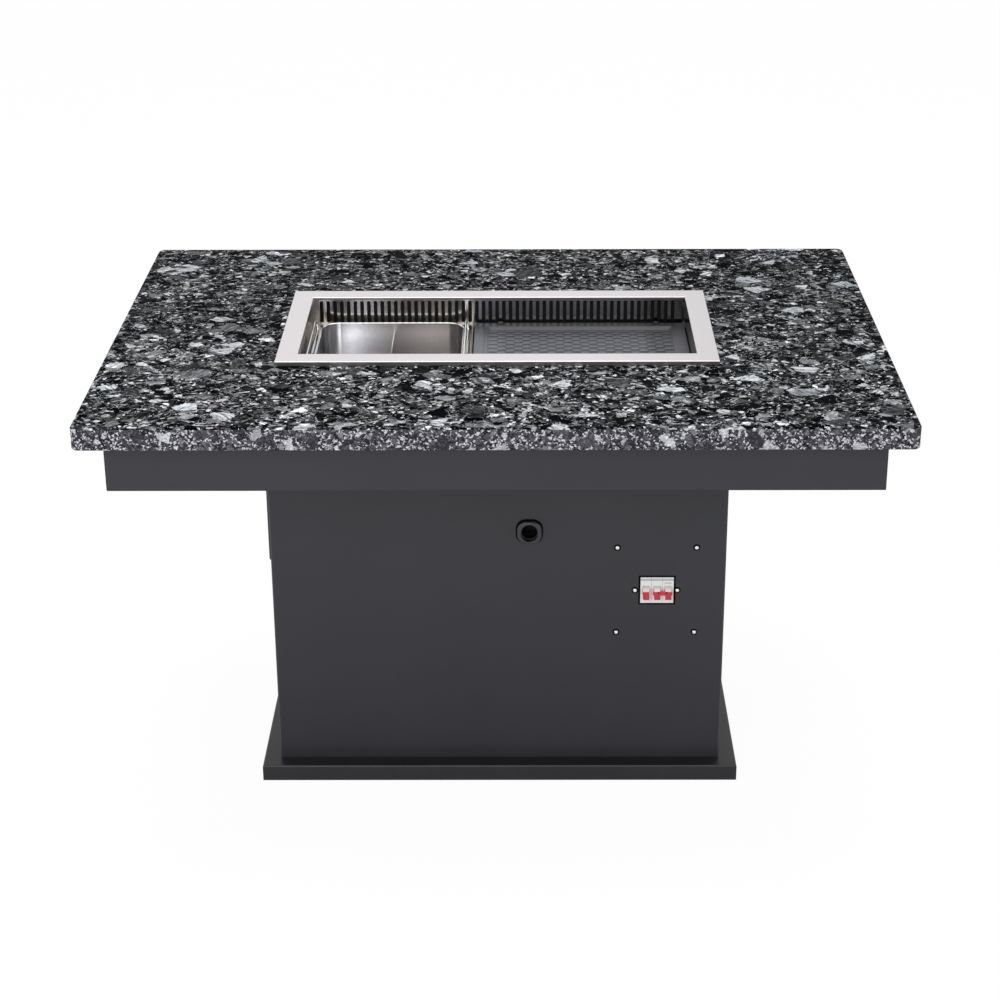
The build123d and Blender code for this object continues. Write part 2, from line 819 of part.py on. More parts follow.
# ============================================================== grill plate
plate_left = partition_right + plate_gap_x
plate_right = opening_x - plate_gap_x
plate_x = (plate_left + plate_right) / 2
plate_length = plate_right - plate_left
plate_depth = opening_depth - 2 * plate_gap_y
plate_top = shelf_top + plate_rim_thickness
plate_floor = plate_top - plate_sink
plate_bottom = plate_floor - plate_floor_thickness
well_length = plate_length - 2 * plate_rim_width
well_depth = plate_depth - 2 * plate_rim_width
floor_length = well_length - 2 * plate_slope
floor_depth = well_depth - 2 * plate_slope
rib_field_length = floor_length - 2 * rib_margin
rib_field_depth = floor_depth - 2 * rib_margin
rib_columns = int((rib_field_length - rib_length) // (2 * rib_column_pitch)) + 1
rib_rows = int((rib_field_depth - rib_width) // rib_row_pitch) + 1
drain_x = plate_x + rib_column_pitch / 2
drain_y = -(rib_rows - 1) * rib_row_pitch / 2
lug_top = plate_top + lug_rise

with BuildPart() as grill_plate:
    with BuildSketch(Plane.XY.offset(shelf_top)):
        with Locations((plate_x, 0)):
            RectangleRounded(plate_length, plate_depth, plate_corner_radius)
    extrude(amount=plate_rim_thickness)
    with BuildSketch(Plane.XY.offset(shelf_top)):
        with Locations((plate_x, 0)):
            RectangleRounded(
                well_length + 2 * plate_wall,
                well_depth + 2 * plate_wall,
                plate_corner_radius,
            )
    with BuildSketch(Plane.XY.offset(plate_bottom)):
        with Locations((plate_x, 0)):
            RectangleRounded(
                floor_length + 2 * plate_wall,
                floor_depth + 2 * plate_wall,
                plate_corner_radius,
            )
    loft()
    with BuildSketch(Plane.XY.offset(plate_top)):
        with Locations((plate_x, 0)):
            RectangleRounded(well_length, well_depth, plate_corner_radius)
    with BuildSketch(Plane.XY.offset(plate_floor)):
        with Locations((plate_x, 0)):
            RectangleRounded(floor_length, floor_depth, plate_corner_radius)
    loft(mode=Mode.SUBTRACT)
    # Short ribs stand in staggered columns, like bricks on end. The grease slot
    # takes the place of two ribs in the front row.
    with BuildSketch(Plane.XY.offset(plate_floor)):
        with Locations((plate_x - rib_column_pitch / 2, 0)):
            with GridLocations(2 * rib_column_pitch, rib_row_pitch, rib_columns, rib_rows):
                Rectangle(rib_length, rib_width)
        with Locations((plate_x + rib_column_pitch / 2, 0)):
            with GridLocations(
                2 * rib_column_pitch, rib_row_pitch, rib_columns, rib_rows - 1
            ):
                Rectangle(rib_length, rib_width)
        with Locations((drain_x, drain_y)):
            Rectangle(4 * rib_column_pitch, drain_width, mode=Mode.SUBTRACT)
    extrude(amount=rib_height)
    with BuildSketch(Plane.XY.offset(plate_floor)):
        with Locations((drain_x, drain_y)):
            SlotOverall(drain_length, drain_width)
    extrude(amount=-plate_floor_thickness, mode=Mode.SUBTRACT)
    with BuildSketch(Plane.XY.offset(shelf_top)):
        with Locations((plate_x + lug_shift, 0)):
            with GridLocations(lug_spacing, plate_depth - 2 * lug_depth, 2, 2):
                Rectangle(lug_width, 2 * lug_depth)
    extrude(amount=lug_top - shelf_top)
grill_plate.part.label = "grill_plate"
export_step(grill_plate.part, "parts/grill_plate.step")

ledge_reach = plate_gap_y + ledge_overlap
with BuildPart() as grill_ledges:
    with BuildSketch(Plane.YZ.offset(partition_right)):
        with Locations((opening_y, shelf_top)):
            Rectangle(ledge_reach, shelf_lip, align=(Align.MAX, Align.MAX))
        with Locations((opening_y - liner_sheet, shelf_bottom)):
            Rectangle(
                ledge_reach, shelf_lip, align=(Align.MAX, Align.MAX), mode=Mode.SUBTRACT
            )
    extrude(amount=opening_x - partition_right)
    mirror(about=Plane.XZ)
grill_ledges.part.label = "grill_ledges"
export_step(grill_ledges.part, "parts/grill_ledges.step")

# ------------------------------------------------------ heater and water pan
heater_z = plate_bottom - heater_gap - tube_radius
outer_pass = 1.5 * heater_pass
inner_pass = 0.5 * heater_pass
bend = heater_pass / 2
heater_left = partition_right + heater_left_gap + tube_radius + bend
heater_turn = partition_right + heater_right_turn
block_left = opening_x - heater_block_length
with BuildPart() as grill_heater:
    with BuildLine(Plane.XY.offset(heater_z)) as tube_path:
        Line((opening_x, -outer_pass), (heater_left, -outer_pass))
        ThreePointArc(
            (heater_left, -outer_pass),
            (heater_left - bend, -heater_pass),
            (heater_left, -inner_pass),
        )
        Line((heater_left, -inner_pass), (heater_turn, -inner_pass))
        ThreePointArc(
            (heater_turn, -inner_pass), (heater_turn + bend, 0), (heater_turn, inner_pass)
        )
        Line((heater_turn, inner_pass), (heater_left, inner_pass))
        ThreePointArc(
            (heater_left, inner_pass),
            (heater_left - bend, heater_pass),
            (heater_left, outer_pass),
        )
        Line((heater_left, outer_pass), (opening_x, outer_pass))
    with BuildSketch(Plane.YZ.offset(opening_x)):
        with Locations((-outer_pass, heater_z)):
            RegularPolygon(tube_radius, tube_sides)
    sweep(path=tube_path.wire())
grill_heater.part.label = "grill_heater"
export_step(grill_heater.part, "parts/grill_heater.step")

block_depth = 2 * (outer_pass + heater_block_margin)
rest_top = heater_z - tube_radius - heater_rest_gap
with BuildPart() as heater_brackets:
    with BuildSketch(Plane.YZ.offset(block_left)):
        with Locations((0, heater_z)):
            RectangleRounded(block_depth, heater_block_height, liner_sheet)
            with GridLocations(2 * outer_pass, 1, 2, 1):
                RegularPolygon(tube_radius, tube_sides, mode=Mode.SUBTRACT)
    extrude(amount=heater_block_length)
    with BuildSketch(Plane.XZ.offset(-outer_pass)):
        with Locations((partition_right, rest_top)):
            Rectangle(
                heater_left_gap + 2 * tube_radius, shelf_lip, align=(Align.MIN, Align.MAX)
            )
        with Locations((partition_right + liner_sheet, rest_top - liner_sheet)):
            Rectangle(
                heater_left_gap + 2 * tube_radius,
                shelf_lip,
                align=(Align.MIN, Align.MAX),
                mode=Mode.SUBTRACT,
            )
    extrude(amount=2 * outer_pass)
heater_brackets.part.label = "heater_brackets"
export_step(heater_brackets.part, "parts/heater_brackets.step")

with BuildPart() as water_pan:
    with BuildSketch(Plane.XY.offset(liner_floor_top)):
        with Locations((plate_x, 0)):
            RectangleRounded(
                pan_length - 2 * pan_rim, pan_depth - 2 * pan_rim, pan_corner_radius
            )
    extrude(amount=pan_height)
    offset(amount=-liner_sheet, openings=water_pan.faces().sort_by(Axis.Z)[-1])
    with BuildSketch(Plane.XY.offset(liner_floor_top + pan_height - liner_sheet)):
        with Locations((plate_x, 0)):
            RectangleRounded(pan_length, pan_depth, pan_corner_radius + pan_rim)
            RectangleRounded(
                pan_length - 2 * pan_rim - liner_sheet,
                pan_depth - 2 * pan_rim - liner_sheet,
                pan_corner_radius,
                mode=Mode.SUBTRACT,
            )
    extrude(amount=liner_sheet)
water_pan.part.label = "water_pan"
export_step(water_pan.part, "parts/water_pan.step")

# ============================================================ stove casing
# A folded wrap (front, floor and back) with two end walls. Its flanges hang on
# the stone, and smoke leaves through the mouth in its floor.
casing_wall_height = casing_flange_top - casing_bottom
mouth_start = -casing_inner_x + chamber_mouth_margin
mouth_end = chamber_end - casing_sheet - chamber_mouth_margin
mouth_y = chamber_inner_y - chamber_mouth_margin
with BuildPart() as casing_wrap:
    with BuildSketch(Plane.YZ.offset(-casing_x)):
        with Locations((0, casing_bottom)):
            Rectangle(2 * casing_y, casing_wall_height, align=(Align.CENTER, Align.MIN))
        with Locations((0, casing_flange_top)):
            Rectangle(
                2 * casing_flange_y, casing_sheet, align=(Align.CENTER, Align.MAX)
            )
        with Locations((0, casing_floor_top)):
            Rectangle(
                2 * casing_inner_y,
                casing_wall_height,
                align=(Align.CENTER, Align.MIN),
                mode=Mode.SUBTRACT,
            )
    extrude(amount=2 * casing_x)
    with BuildSketch(Plane.XY.offset(casing_bottom)):
        with Locations(((mouth_start + mouth_end) / 2, 0)):
            Rectangle(mouth_end - mouth_start, 2 * mouth_y)
    extrude(amount=casing_sheet, mode=Mode.SUBTRACT)
casing_wrap.part.label = "casing_wrap"
export_step(casing_wrap.part, "parts/casing_wrap.step")

with BuildPart() as casing_ends:
    with BuildSketch(Plane.XZ.offset(-casing_inner_y)):
        with Locations((casing_inner_x, casing_floor_top)):
            Rectangle(
                casing_sheet,
                casing_flange_top - casing_floor_top,
                align=(Align.MIN, Align.MIN),
            )
        with Locations((casing_inner_x, casing_flange_top)):
            Rectangle(
                casing_flange_x - casing_inner_x,
                casing_sheet,
                align=(Align.MIN, Align.MAX),
            )
    extrude(amount=2 * casing_inner_y)
    mirror(about=Plane.YZ)
casing_ends.part.label = "casing_ends"
export_step(casing_ends.part, "parts/casing_ends.step")

# ======================================================= filter and drawer
chamber_length = chamber_end - chamber_start
with BuildPart() as filter_chamber:
    with BuildSketch(Plane.YZ.offset(chamber_start)):
        with Locations((0, chamber_bottom)):
            Rectangle(chamber_width, chamber_height, align=(Align.CENTER, Align.MIN))
        with Locations((0, chamber_top)):
            Rectangle(
                chamber_width + 2 * chamber_flange,
                casing_sheet,
                align=(Align.CENTER, Align.MAX),
            )
        with Locations((0, chamber_floor_top)):
            Rectangle(
                2 * chamber_inner_y,
                chamber_height,
                align=(Align.CENTER, Align.MIN),
                mode=Mode.SUBTRACT,
            )
    extrude(amount=chamber_length)
    with BuildSketch(Plane.YZ.offset(chamber_end)):
        with Locations((0, chamber_bottom)):
            Rectangle(chamber_width, chamber_height, align=(Align.CENTER, Align.MIN))
    extrude(amount=-casing_sheet)
    with BuildSketch(Plane.XY.offset(chamber_top)):
        with Locations((chamber_start, 0)):
            Rectangle(
                mouth_start - chamber_start,
                2 * chamber_inner_y,
                align=(Align.MIN, Align.CENTER),
            )
    extrude(amount=-casing_sheet)
    with BuildSketch(Plane.XY.offset(chamber_bottom)):
        with Locations((fan_x, 0)):
            Circle(inlet_radius)
    extrude(amount=casing_sheet, mode=Mode.SUBTRACT)
filter_chamber.part.label = "filter_chamber"
export_step(filter_chamber.part, "parts/filter_chamber.step")

tray_front = -pedestal_x - drawer_front_proud + drawer_sheet
tray_length = tray_end - tray_front
tray_bottom = drawer_mouth_bottom + drawer_running_gap
tray_rim_top = tray_bottom + tray_height
tray_flange_y = drawer_mouth_y - drawer_sheet
tray_y = chamber_inner_y - runner_leg - drawer_running_gap
runner_top = tray_rim_top - drawer_sheet
with BuildPart() as drawer_runners:
    with BuildSketch(Plane.YZ.offset(chamber_start)):
        with Locations((chamber_inner_y, runner_top)):
            Rectangle(runner_leg, runner_rise, align=(Align.MAX, Align.MAX))
        with Locations((chamber_inner_y - sheet, runner_top - sheet)):
            Rectangle(
                runner_leg, runner_rise, align=(Align.MAX, Align.MAX), mode=Mode.SUBTRACT
            )
    extrude(amount=tray_end - chamber_start)
    mirror(about=Plane.XZ)
drawer_runners.part.label = "drawer_runners"
export_step(drawer_runners.part, "parts/drawer_runners.step")

drawer_front_top = drawer_front_bottom + drawer_front_height
finger_slot_z = drawer_front_top - finger_slot_drop
drawer_front_middle = (drawer_front_bottom + drawer_front_top) / 2
with BuildPart() as drawer_front:
    with BuildSketch(Plane.YZ.offset(-pedestal_x)):
        with Locations((0, drawer_front_middle)):
            Rectangle(drawer_front_width, drawer_front_height)
    extrude(amount=-drawer_front_proud)
    fillet(drawer_front.faces().sort_by(Axis.X)[0].edges(), radius=bend_radius)
    with BuildSketch(Plane.YZ.offset(-pedestal_x)):
        with Locations((0, drawer_front_middle)):
            Rectangle(
                drawer_front_width - 2 * drawer_sheet,
                drawer_front_height - 2 * drawer_sheet,
            )
    extrude(amount=-(drawer_front_proud - drawer_sheet), mode=Mode.SUBTRACT)
    with BuildSketch(Plane.YZ.offset(-pedestal_x)):
        with Locations((0, finger_slot_z)):
            SlotOverall(finger_slot_length, finger_slot_height)
    extrude(amount=-drawer_front_proud, mode=Mode.SUBTRACT)
drawer_front.part.label = "drawer_front"
export_step(drawer_front.part, "parts/drawer_front.step")

with BuildPart() as drawer_tray:
    with BuildSketch(Plane.XY.offset(tray_bottom)):
        with Locations((tray_front, 0)):
            Rectangle(tray_length, 2 * tray_y, align=(Align.MIN, Align.CENTER))
    extrude(amount=tray_height)
    fillet(drawer_tray.edges().filter_by(Axis.Z), radius=tray_corner_radius)
    offset(amount=-drawer_sheet, openings=drawer_tray.faces().sort_by(Axis.Z)[-1])
    with BuildSketch(Plane.XY.offset(tray_rim_top)):
        with Locations((tray_front, 0)):
            Rectangle(tray_length, 2 * tray_flange_y, align=(Align.MIN, Align.CENTER))
        with Locations((tray_front + drawer_sheet, 0)):
            Rectangle(
                tray_length - 2 * drawer_sheet,
                2 * (tray_y - drawer_sheet),
                align=(Align.MIN, Align.CENTER),
                mode=Mode.SUBTRACT,
            )
    extrude(amount=-drawer_sheet)
drawer_tray.part.label = "drawer_tray"
export_step(drawer_tray.part, "parts/drawer_tray.step")

# Two layers of channel slats, staggered so that fat is caught on the bends.
cassette_start = tray_front + cassette_inset
cassette_end = tray_end - cassette_inset
cassette_length = cassette_end - cassette_start
cassette_x = (cassette_start + cassette_end) / 2
cassette_y = (tray_y + tray_flange_y) / 2
slat_pitch = (cassette_length - 2 * drawer_sheet) / cassette_slats
slat_lip = cassette_height / 3
with BuildPart() as filter_cassette:
    with BuildSketch(Plane.XY.offset(tray_rim_top)):
        with Locations((cassette_x, 0)):
            Rectangle(cassette_length, 2 * cassette_y)
            Rectangle(
                cassette_length - 2 * drawer_sheet,
                2 * (cassette_y - drawer_sheet),
                mode=Mode.SUBTRACT,
            )
    extrude(amount=cassette_height)
    for layer_z, lip_way, count in (
        (tray_rim_top + cassette_height, -1, cassette_slats),
        (tray_rim_top, 1, cassette_slats - 1),
    ):
        with BuildSketch(Plane.XZ.offset(-cassette_y)):
            with Locations((cassette_x, layer_z + lip_way * slat_lip / 2)):
                with GridLocations(slat_pitch, 1, count, 1):
                    Rectangle(cassette_slat, slat_lip)
            with Locations((cassette_x, layer_z + lip_way * (slat_lip / 2 + drawer_sheet))):
                with GridLocations(slat_pitch, 1, count, 1):
                    Rectangle(
                        cassette_slat - 2 * drawer_sheet, slat_lip, mode=Mode.SUBTRACT
                    )
        extrude(amount=2 * cassette_y)
filter_cassette.part.label = "filter_cassette"
export_step(filter_cassette.part, "parts/filter_cassette.step")

# ===================================================================== fan
# The scroll's outline is four quarter arcs about the corners of a small
# square, each a step wider than the last, and a straight outlet towards -X.
half_step = scroll_step / 2
arc_centres = (
    Vector(fan_x - half_step, -half_step),
    Vector(fan_x + half_step, -half_step),
    Vector(fan_x + half_step, half_step),
    Vector(fan_x - half_step, half_step),
)
outlet_near_y = arc_centres[0].Y + scroll_radii[0]
outlet_far_y = arc_centres[3].Y + scroll_radii[3]
fan_top = chamber_bottom
fan_bottom = fan_top - fan_height


def scroll_region(grow):
    """The scroll and its straight outlet at z = 0, with the walls moved out by grow."""
    with BuildSketch(Plane.XY, mode=Mode.PRIVATE) as region:
        with BuildLine():
            for quarter, (centre, radius) in enumerate(zip(arc_centres, scroll_radii)):
                CenterArc(centre, radius + grow, 90 + 90 * quarter, 90)
            Line(
                (arc_centres[3].X, outlet_far_y + grow),
                (arc_centres[0].X, outlet_near_y + grow),
            )
        make_face()
        with Locations((outlet_x, outlet_near_y - grow)):
            Rectangle(
                arc_centres[0].X - outlet_x,
                outlet_far_y - outlet_near_y + 2 * grow,
                align=(Align.MIN, Align.MIN),
            )
    return region.sketch


with BuildPart() as fan_housing:
    with BuildSketch(Plane.XY.offset(fan_bottom)):
        add(scroll_region(sheet))
    extrude(amount=fan_height)
    with BuildSketch(Plane.XY.offset(fan_bottom)):
        add(scroll_region(0))
        with Locations((arc_centres[0].X, outlet_near_y)):
            Rectangle(tongue_setback, tongue_setback, align=(Align.MAX, Align.MAX))
    extrude(amount=fan_height - sheet, mode=Mode.SUBTRACT)
    with BuildSketch(Plane.XY.offset(fan_top)):
        with Locations((fan_x, 0)):
            Circle(inlet_radius)
    extrude(amount=-sheet, mode=Mode.SUBTRACT)
fan_housing.part.label = "fan_housing"
export_step(fan_housing.part, "parts/fan_housing.step")

with BuildPart() as fan_cover:
    with BuildSketch(Plane.XY.offset(fan_bottom)):
        add(scroll_region(sheet))
        with Locations((fan_x, 0)):
            Circle(shaft_radius + shaft_clearance, mode=Mode.SUBTRACT)
    extrude(amount=-sheet)
fan_cover.part.label = "fan_cover"
export_step(fan_cover.part, "parts/fan_cover.step")

# Backward-curved blades between a back plate and an inlet ring.
wheel_bottom = fan_bottom + (fan_height - sheet - wheel_height) / 2
wheel_top = wheel_bottom + wheel_height
blade_height = wheel_height - 2 * wheel_sheet
with BuildPart() as impeller:
    with BuildSketch(Plane.XY.offset(wheel_bottom)):
        with Locations((fan_x, 0)):
            Circle(wheel_radius)
    extrude(amount=wheel_sheet)
    with BuildSketch(Plane.XY.offset(wheel_bottom + wheel_sheet)):
        with Locations((fan_x, 0)):
            with PolarLocations(0, blade_count):
                with BuildLine():
                    inner_end = (0.55 * wheel_radius, 0)
                    outer_end = (0.90 * wheel_radius, -0.42 * wheel_radius)
                    leading = ThreePointArc(
                        inner_end, (0.76 * wheel_radius, -0.15 * wheel_radius), outer_end
                    )
                    trailing = offset(leading, amount=blade_wall, side=Side.LEFT)
                make_face()
    extrude(amount=blade_height)
    with BuildSketch(Plane.XY.offset(wheel_top - wheel_sheet)):
        with Locations((fan_x, 0)):
            Circle(wheel_radius)
            Circle(inlet_radius - wheel_gap, mode=Mode.SUBTRACT)
    extrude(amount=wheel_sheet)
    with BuildSketch(Plane.XY.offset(wheel_bottom)):
        with Locations((fan_x, 0)):
            Circle(hub_radius)
    extrude(amount=wheel_height / 2)
    with BuildSketch(Plane.XY.offset(wheel_bottom)):
        with Locations((fan_x, 0)):
            Circle(shaft_radius)
    extrude(amount=wheel_height / 2, mode=Mode.SUBTRACT)
impeller.part.label = "impeller"
export_step(impeller.part, "parts/impeller.step")

motor_top = fan_bottom - sheet
shaft_bottom = motor_top - shaft_depth
with BuildPart() as motor_shaft:
    with BuildSketch(Plane.XY.offset(shaft_bottom)):
        with Locations((fan_x, 0)):
            Circle(shaft_radius)
    extrude(amount=wheel_bottom + wheel_height / 2 - shaft_bottom)
motor_shaft.part.label = "motor_shaft"
export_step(motor_shaft.part, "parts/motor_shaft.step")

with BuildPart() as fan_motor:
    with BuildSketch(Plane.XY.offset(motor_top)):
        with Locations((fan_x, 0)):
            Circle(motor_flange_radius)
    extrude(amount=-motor_flange_thickness)
    with BuildSketch(Plane.XY.offset(motor_top)):
        with Locations((fan_x, 0)):
            Circle(motor_radius)
    extrude(amount=-motor_height)
    chamfer(fan_motor.faces().sort_by(Axis.Z)[0].edges(), length=motor_edge_chamfer)
    with BuildSketch(Plane.XY.offset(motor_top)):
        with Locations((fan_x, 0)):
            Circle(shaft_radius + shaft_running_gap)
    extrude(amount=-shaft_depth - shaft_clearance, mode=Mode.SUBTRACT)
fan_motor.part.label = "fan_motor"
export_step(fan_motor.part, "parts/fan_motor.step")

# ================================================================= exhaust
# A sheet box turns the air from the scroll's outlet down into the round duct.
elbow_end = outlet_x - elbow_length
outlet_y = (outlet_near_y + outlet_far_y) / 2
outlet_width = outlet_far_y - outlet_near_y
spigot_bottom = fan_bottom - spigot_length
with BuildPart() as exhaust_elbow:
    with BuildSketch(Plane.XY.offset(fan_bottom)):
        with Locations((elbow_end, duct_y)):
            Rectangle(elbow_length, elbow_depth, align=(Align.MIN, Align.CENTER))
    extrude(amount=fan_height)
    with BuildSketch(Plane.XY.offset(fan_bottom + sheet)):
        with Locations((elbow_end + sheet, duct_y)):
            Rectangle(
                elbow_length - 2 * sheet,
                elbow_depth - 2 * sheet,
                align=(Align.MIN, Align.CENTER),
            )
    extrude(amount=fan_height - 2 * sheet, mode=Mode.SUBTRACT)
    with BuildSketch(Plane.YZ.offset(outlet_x)):
        with Locations((outlet_y, fan_bottom)):
            Rectangle(outlet_width, fan_height - sheet, align=(Align.CENTER, Align.MIN))
    extrude(amount=-sheet, mode=Mode.SUBTRACT)
    with BuildSketch(Plane.XY.offset(spigot_bottom)):
        with Locations((duct_x, duct_y)):
            Circle(duct_radius + sheet)
    extrude(amount=spigot_length)
    with BuildSketch(Plane.XY.offset(spigot_bottom)):
        with Locations((duct_x, duct_y)):
            Circle(duct_radius)
    extrude(amount=spigot_length + sheet, mode=Mode.SUBTRACT)
exhaust_elbow.part.label = "exhaust_elbow"
export_step(exhaust_elbow.part, "parts/exhaust_elbow.step")

socket_top = socket_rise + socket_length
flare_top = socket_top + 2 * (socket_radius - duct_radius)
collar_outside = socket_radius + sheet + duct_collar_width
duct_section = Plane(origin=(duct_x, duct_y, 0), x_dir=(1, 0, 0), z_dir=(0, -1, 0))
with BuildPart() as exhaust_duct:
    with BuildSketch(duct_section):
        with BuildLine():
            Polyline(
                (socket_radius, socket_rise),
                (socket_radius, socket_top),
                (duct_radius, flare_top),
                (duct_radius, spigot_bottom),
                (duct_radius + sheet, spigot_bottom),
                (duct_radius + sheet, flare_top),
                (socket_radius + sheet, socket_top),
                (socket_radius + sheet, plinth_height + duct_collar_thickness),
                (collar_outside, plinth_height + duct_collar_thickness),
                (collar_outside, plinth_height),
                (socket_radius + sheet, plinth_height),
                (socket_radius + sheet, socket_rise),
                close=True,
            )
        make_face()
    revolve(axis=Axis((duct_x, duct_y, 0), (0, 0, 1)))
exhaust_duct.part.label = "exhaust_duct"
export_step(exhaust_duct.part, "parts/exhaust_duct.step")

# ================================================================ switches
panel_inside = -pedestal_y + sheet
box_back = panel_inside + box_depth
rail_back = box_back - sheet
rail_front = rail_back - rail_depth
with BuildPart() as breaker_box:
    with BuildSketch(Plane.XZ.offset(-panel_inside)):
        with Locations((box_x, breaker_z)):
            Rectangle(
                box_flange_x + 2 * box_flange_margin, box_flange_z + 2 * box_flange_margin
            )
    extrude(amount=-sheet)
    with BuildSketch(Plane.XZ.offset(-panel_inside)):
        with Locations((switch_x, breaker_z)):
            Rectangle(box_width, box_height)
    extrude(amount=-box_depth)
    with BuildSketch(Plane.XZ.offset(-panel_inside)):
        with Locations((switch_x, breaker_z)):
            Rectangle(box_width - 2 * sheet, box_height - 2 * sheet)
    extrude(amount=-(box_depth - sheet), mode=Mode.SUBTRACT)
    with BuildSketch(Plane.XZ.offset(-panel_inside)):
        with Locations(*panel_screw_places[:4]):
            RegularPolygon(screw_radius, screw_sides)
    extrude(amount=-sheet, mode=Mode.SUBTRACT)
breaker_box.part.label = "breaker_box"
export_step(breaker_box.part, "parts/breaker_box.step")

# Top-hat rail, on the back of the box.
with BuildPart() as din_rail:
    with BuildSketch(Plane.YZ.offset(switch_x - box_width / 2 + sheet)):
        with Locations((rail_front, breaker_z)):
            Rectangle(rail_wall, rail_width, align=(Align.MIN, Align.CENTER))
            Rectangle(rail_depth, rail_hat, align=(Align.MIN, Align.CENTER))
            Rectangle(
                rail_depth - rail_wall,
                rail_hat - 2 * rail_wall,
                align=(Align.MIN, Align.CENTER),
                mode=Mode.SUBTRACT,
            )
    extrude(amount=box_width - 2 * sheet)
din_rail.part.label = "din_rail"
export_step(din_rail.part, "parts/din_rail.step")

nose_front = -pedestal_y - breaker_proud
shoulder_y = nose_front + breaker_shoulder
breaker_back = rail_front + rail_wall
pivot_y = nose_front + lever_pivot_depth
pole_left = switch_x - module_width
for breaker_name, first_pole, poles in (
    ("breaker_single", 0, 1),
    ("breaker_double", 1, 2),
):
    block_start = switch_x - 1.5 * module_width + first_pole * module_width
    with BuildPart() as breaker:
        with BuildSketch(Plane.YZ.offset(block_start + module_gap / 2)):
            with Locations((nose_front, breaker_z)):
                Rectangle(
                    breaker_back - nose_front,
                    breaker_nose,
                    align=(Align.MIN, Align.CENTER),
                )
            with Locations((shoulder_y, breaker_z)):
                Rectangle(
                    breaker_back - shoulder_y,
                    breaker_body,
                    align=(Align.MIN, Align.CENTER),
                )
            with Locations((rail_front, breaker_z)):
                Rectangle(
                    2 * rail_wall,
                    rail_width,
                    align=(Align.MIN, Align.CENTER),
                    mode=Mode.SUBTRACT,
                )
        extrude(amount=poles * module_width - module_gap)
        for pole in range(poles):
            pole_middle = block_start + (pole + 0.5) * module_width
            with BuildSketch(Plane.XZ.offset(-nose_front)):
                with Locations((pole_middle, breaker_z)):
                    Rectangle(lever_width + 2 * lever_slot_gap, 2 * lever_slot_half)
            extrude(amount=-(lever_pivot_depth + lever_hub_radius + lever_slot_gap),
                    mode=Mode.SUBTRACT)
    breaker.part.label = breaker_name
    export_step(breaker.part, f"parts/{breaker_name}.step")

for lever_name, first_pole, poles in (("lever_single", 0, 1), ("lever_double", 1, 2)):
    block_start = switch_x - 1.5 * module_width + first_pole * module_width
    first_middle = block_start + module_width / 2
    last_middle = first_middle + (poles - 1) * module_width
    finger_plane = Plane(
        origin=((first_middle + last_middle) / 2, pivot_y, breaker_z),
        x_dir=(1, 0, 0),
        z_dir=(0, -cos(radians(lever_rest)), -sin(radians(lever_rest))),
    )
    with BuildPart() as lever:
        with BuildSketch(Plane.YZ.offset(first_middle - lever_width / 2)):
            with Locations((pivot_y, breaker_z)):
                Circle(lever_hub_radius)
        extrude(amount=lever_width)
        if poles > 1:
            with BuildSketch(Plane.YZ.offset(last_middle - lever_width / 2)):
                with Locations((pivot_y, breaker_z)):
                    Circle(lever_hub_radius)
            extrude(amount=lever_width)
        with BuildSketch(finger_plane):
            with GridLocations(module_width, 1, poles, 1):
                Rectangle(lever_width, lever_thickness)
        extrude(amount=lever_reach)
        if poles > 1:
            tie_length = module_width + lever_width + 2 * tie_overhang
            with BuildSketch(finger_plane.offset(tie_start)):
                Rectangle(tie_length, tie_height)
            extrude(amount=tie_thickness)
    lever.part.label = lever_name
    export_step(lever.part, f"parts/{lever_name}.step")

with BuildPart() as panel_screws:
    with BuildSketch(Plane.XZ.offset(pedestal_y)):
        with Locations(*panel_screw_places):
            RegularPolygon(screw_head_radius, screw_head_sides)
    extrude(amount=screw_head_height)
    with BuildSketch(Plane.XZ.offset(pedestal_y)):
        with Locations(*panel_screw_places):
            RegularPolygon(screw_radius, screw_sides)
    extrude(amount=-screw_length)
panel_screws.part.label = "panel_screws"
export_step(panel_screws.part, "parts/panel_screws.step")

with BuildPart() as back_screws:
    with BuildSketch(Plane.XZ.offset(-pedestal_y)):
        with Locations(*back_screw_places):
            RegularPolygon(screw_head_radius, screw_head_sides)
    extrude(amount=-screw_head_height)
    with BuildSketch(Plane.XZ.offset(-pedestal_y)):
        with Locations(*back_screw_places):
            RegularPolygon(screw_radius, screw_sides)
    extrude(amount=screw_length)
back_screws.part.label = "back_screws"
export_step(back_screws.part, "parts/back_screws.step")

# =========================================================== cable bushing
with BuildPart() as cable_bushing:
    with BuildSketch(Plane.XZ.offset(pedestal_y)):
        with Locations((bushing_x, bushing_z)):
            RectangleRounded(bushing_width, bushing_width, bushing_corner_radius)
    extrude(amount=bushing_thickness)
    chamfer(
        cable_bushing.faces().sort_by(Axis.Y)[0].edges(), length=bushing_edge_chamfer
    )
    with BuildSketch(Plane.XZ.offset(pedestal_y)):
        with Locations((bushing_x, bushing_z)):
            Circle(bushing_neck_radius)
    extrude(amount=-bushing_neck_length)
    with BuildSketch(Plane.XZ.offset(pedestal_y + bushing_thickness)):
        with Locations((bushing_x, bushing_z)):
            Circle(bushing_bore_radius)
    extrude(amount=-(bushing_thickness + bushing_neck_length), mode=Mode.SUBTRACT)
cable_bushing.part.label = "cable_bushing"
export_step(cable_bushing.part, "parts/cable_bushing.step")

with BuildPart() as bushing_nut:
    with BuildSketch(Plane.XZ.offset(-panel_inside)):
        with Locations((bushing_x, bushing_z)):
            RegularPolygon(nut_radius, 6)
            Circle(bushing_neck_radius, mode=Mode.SUBTRACT)
    extrude(amount=-nut_thickness)
bushing_nut.part.label = "bushing_nut"
export_step(bushing_nut.part, "parts/bushing_nut.step")
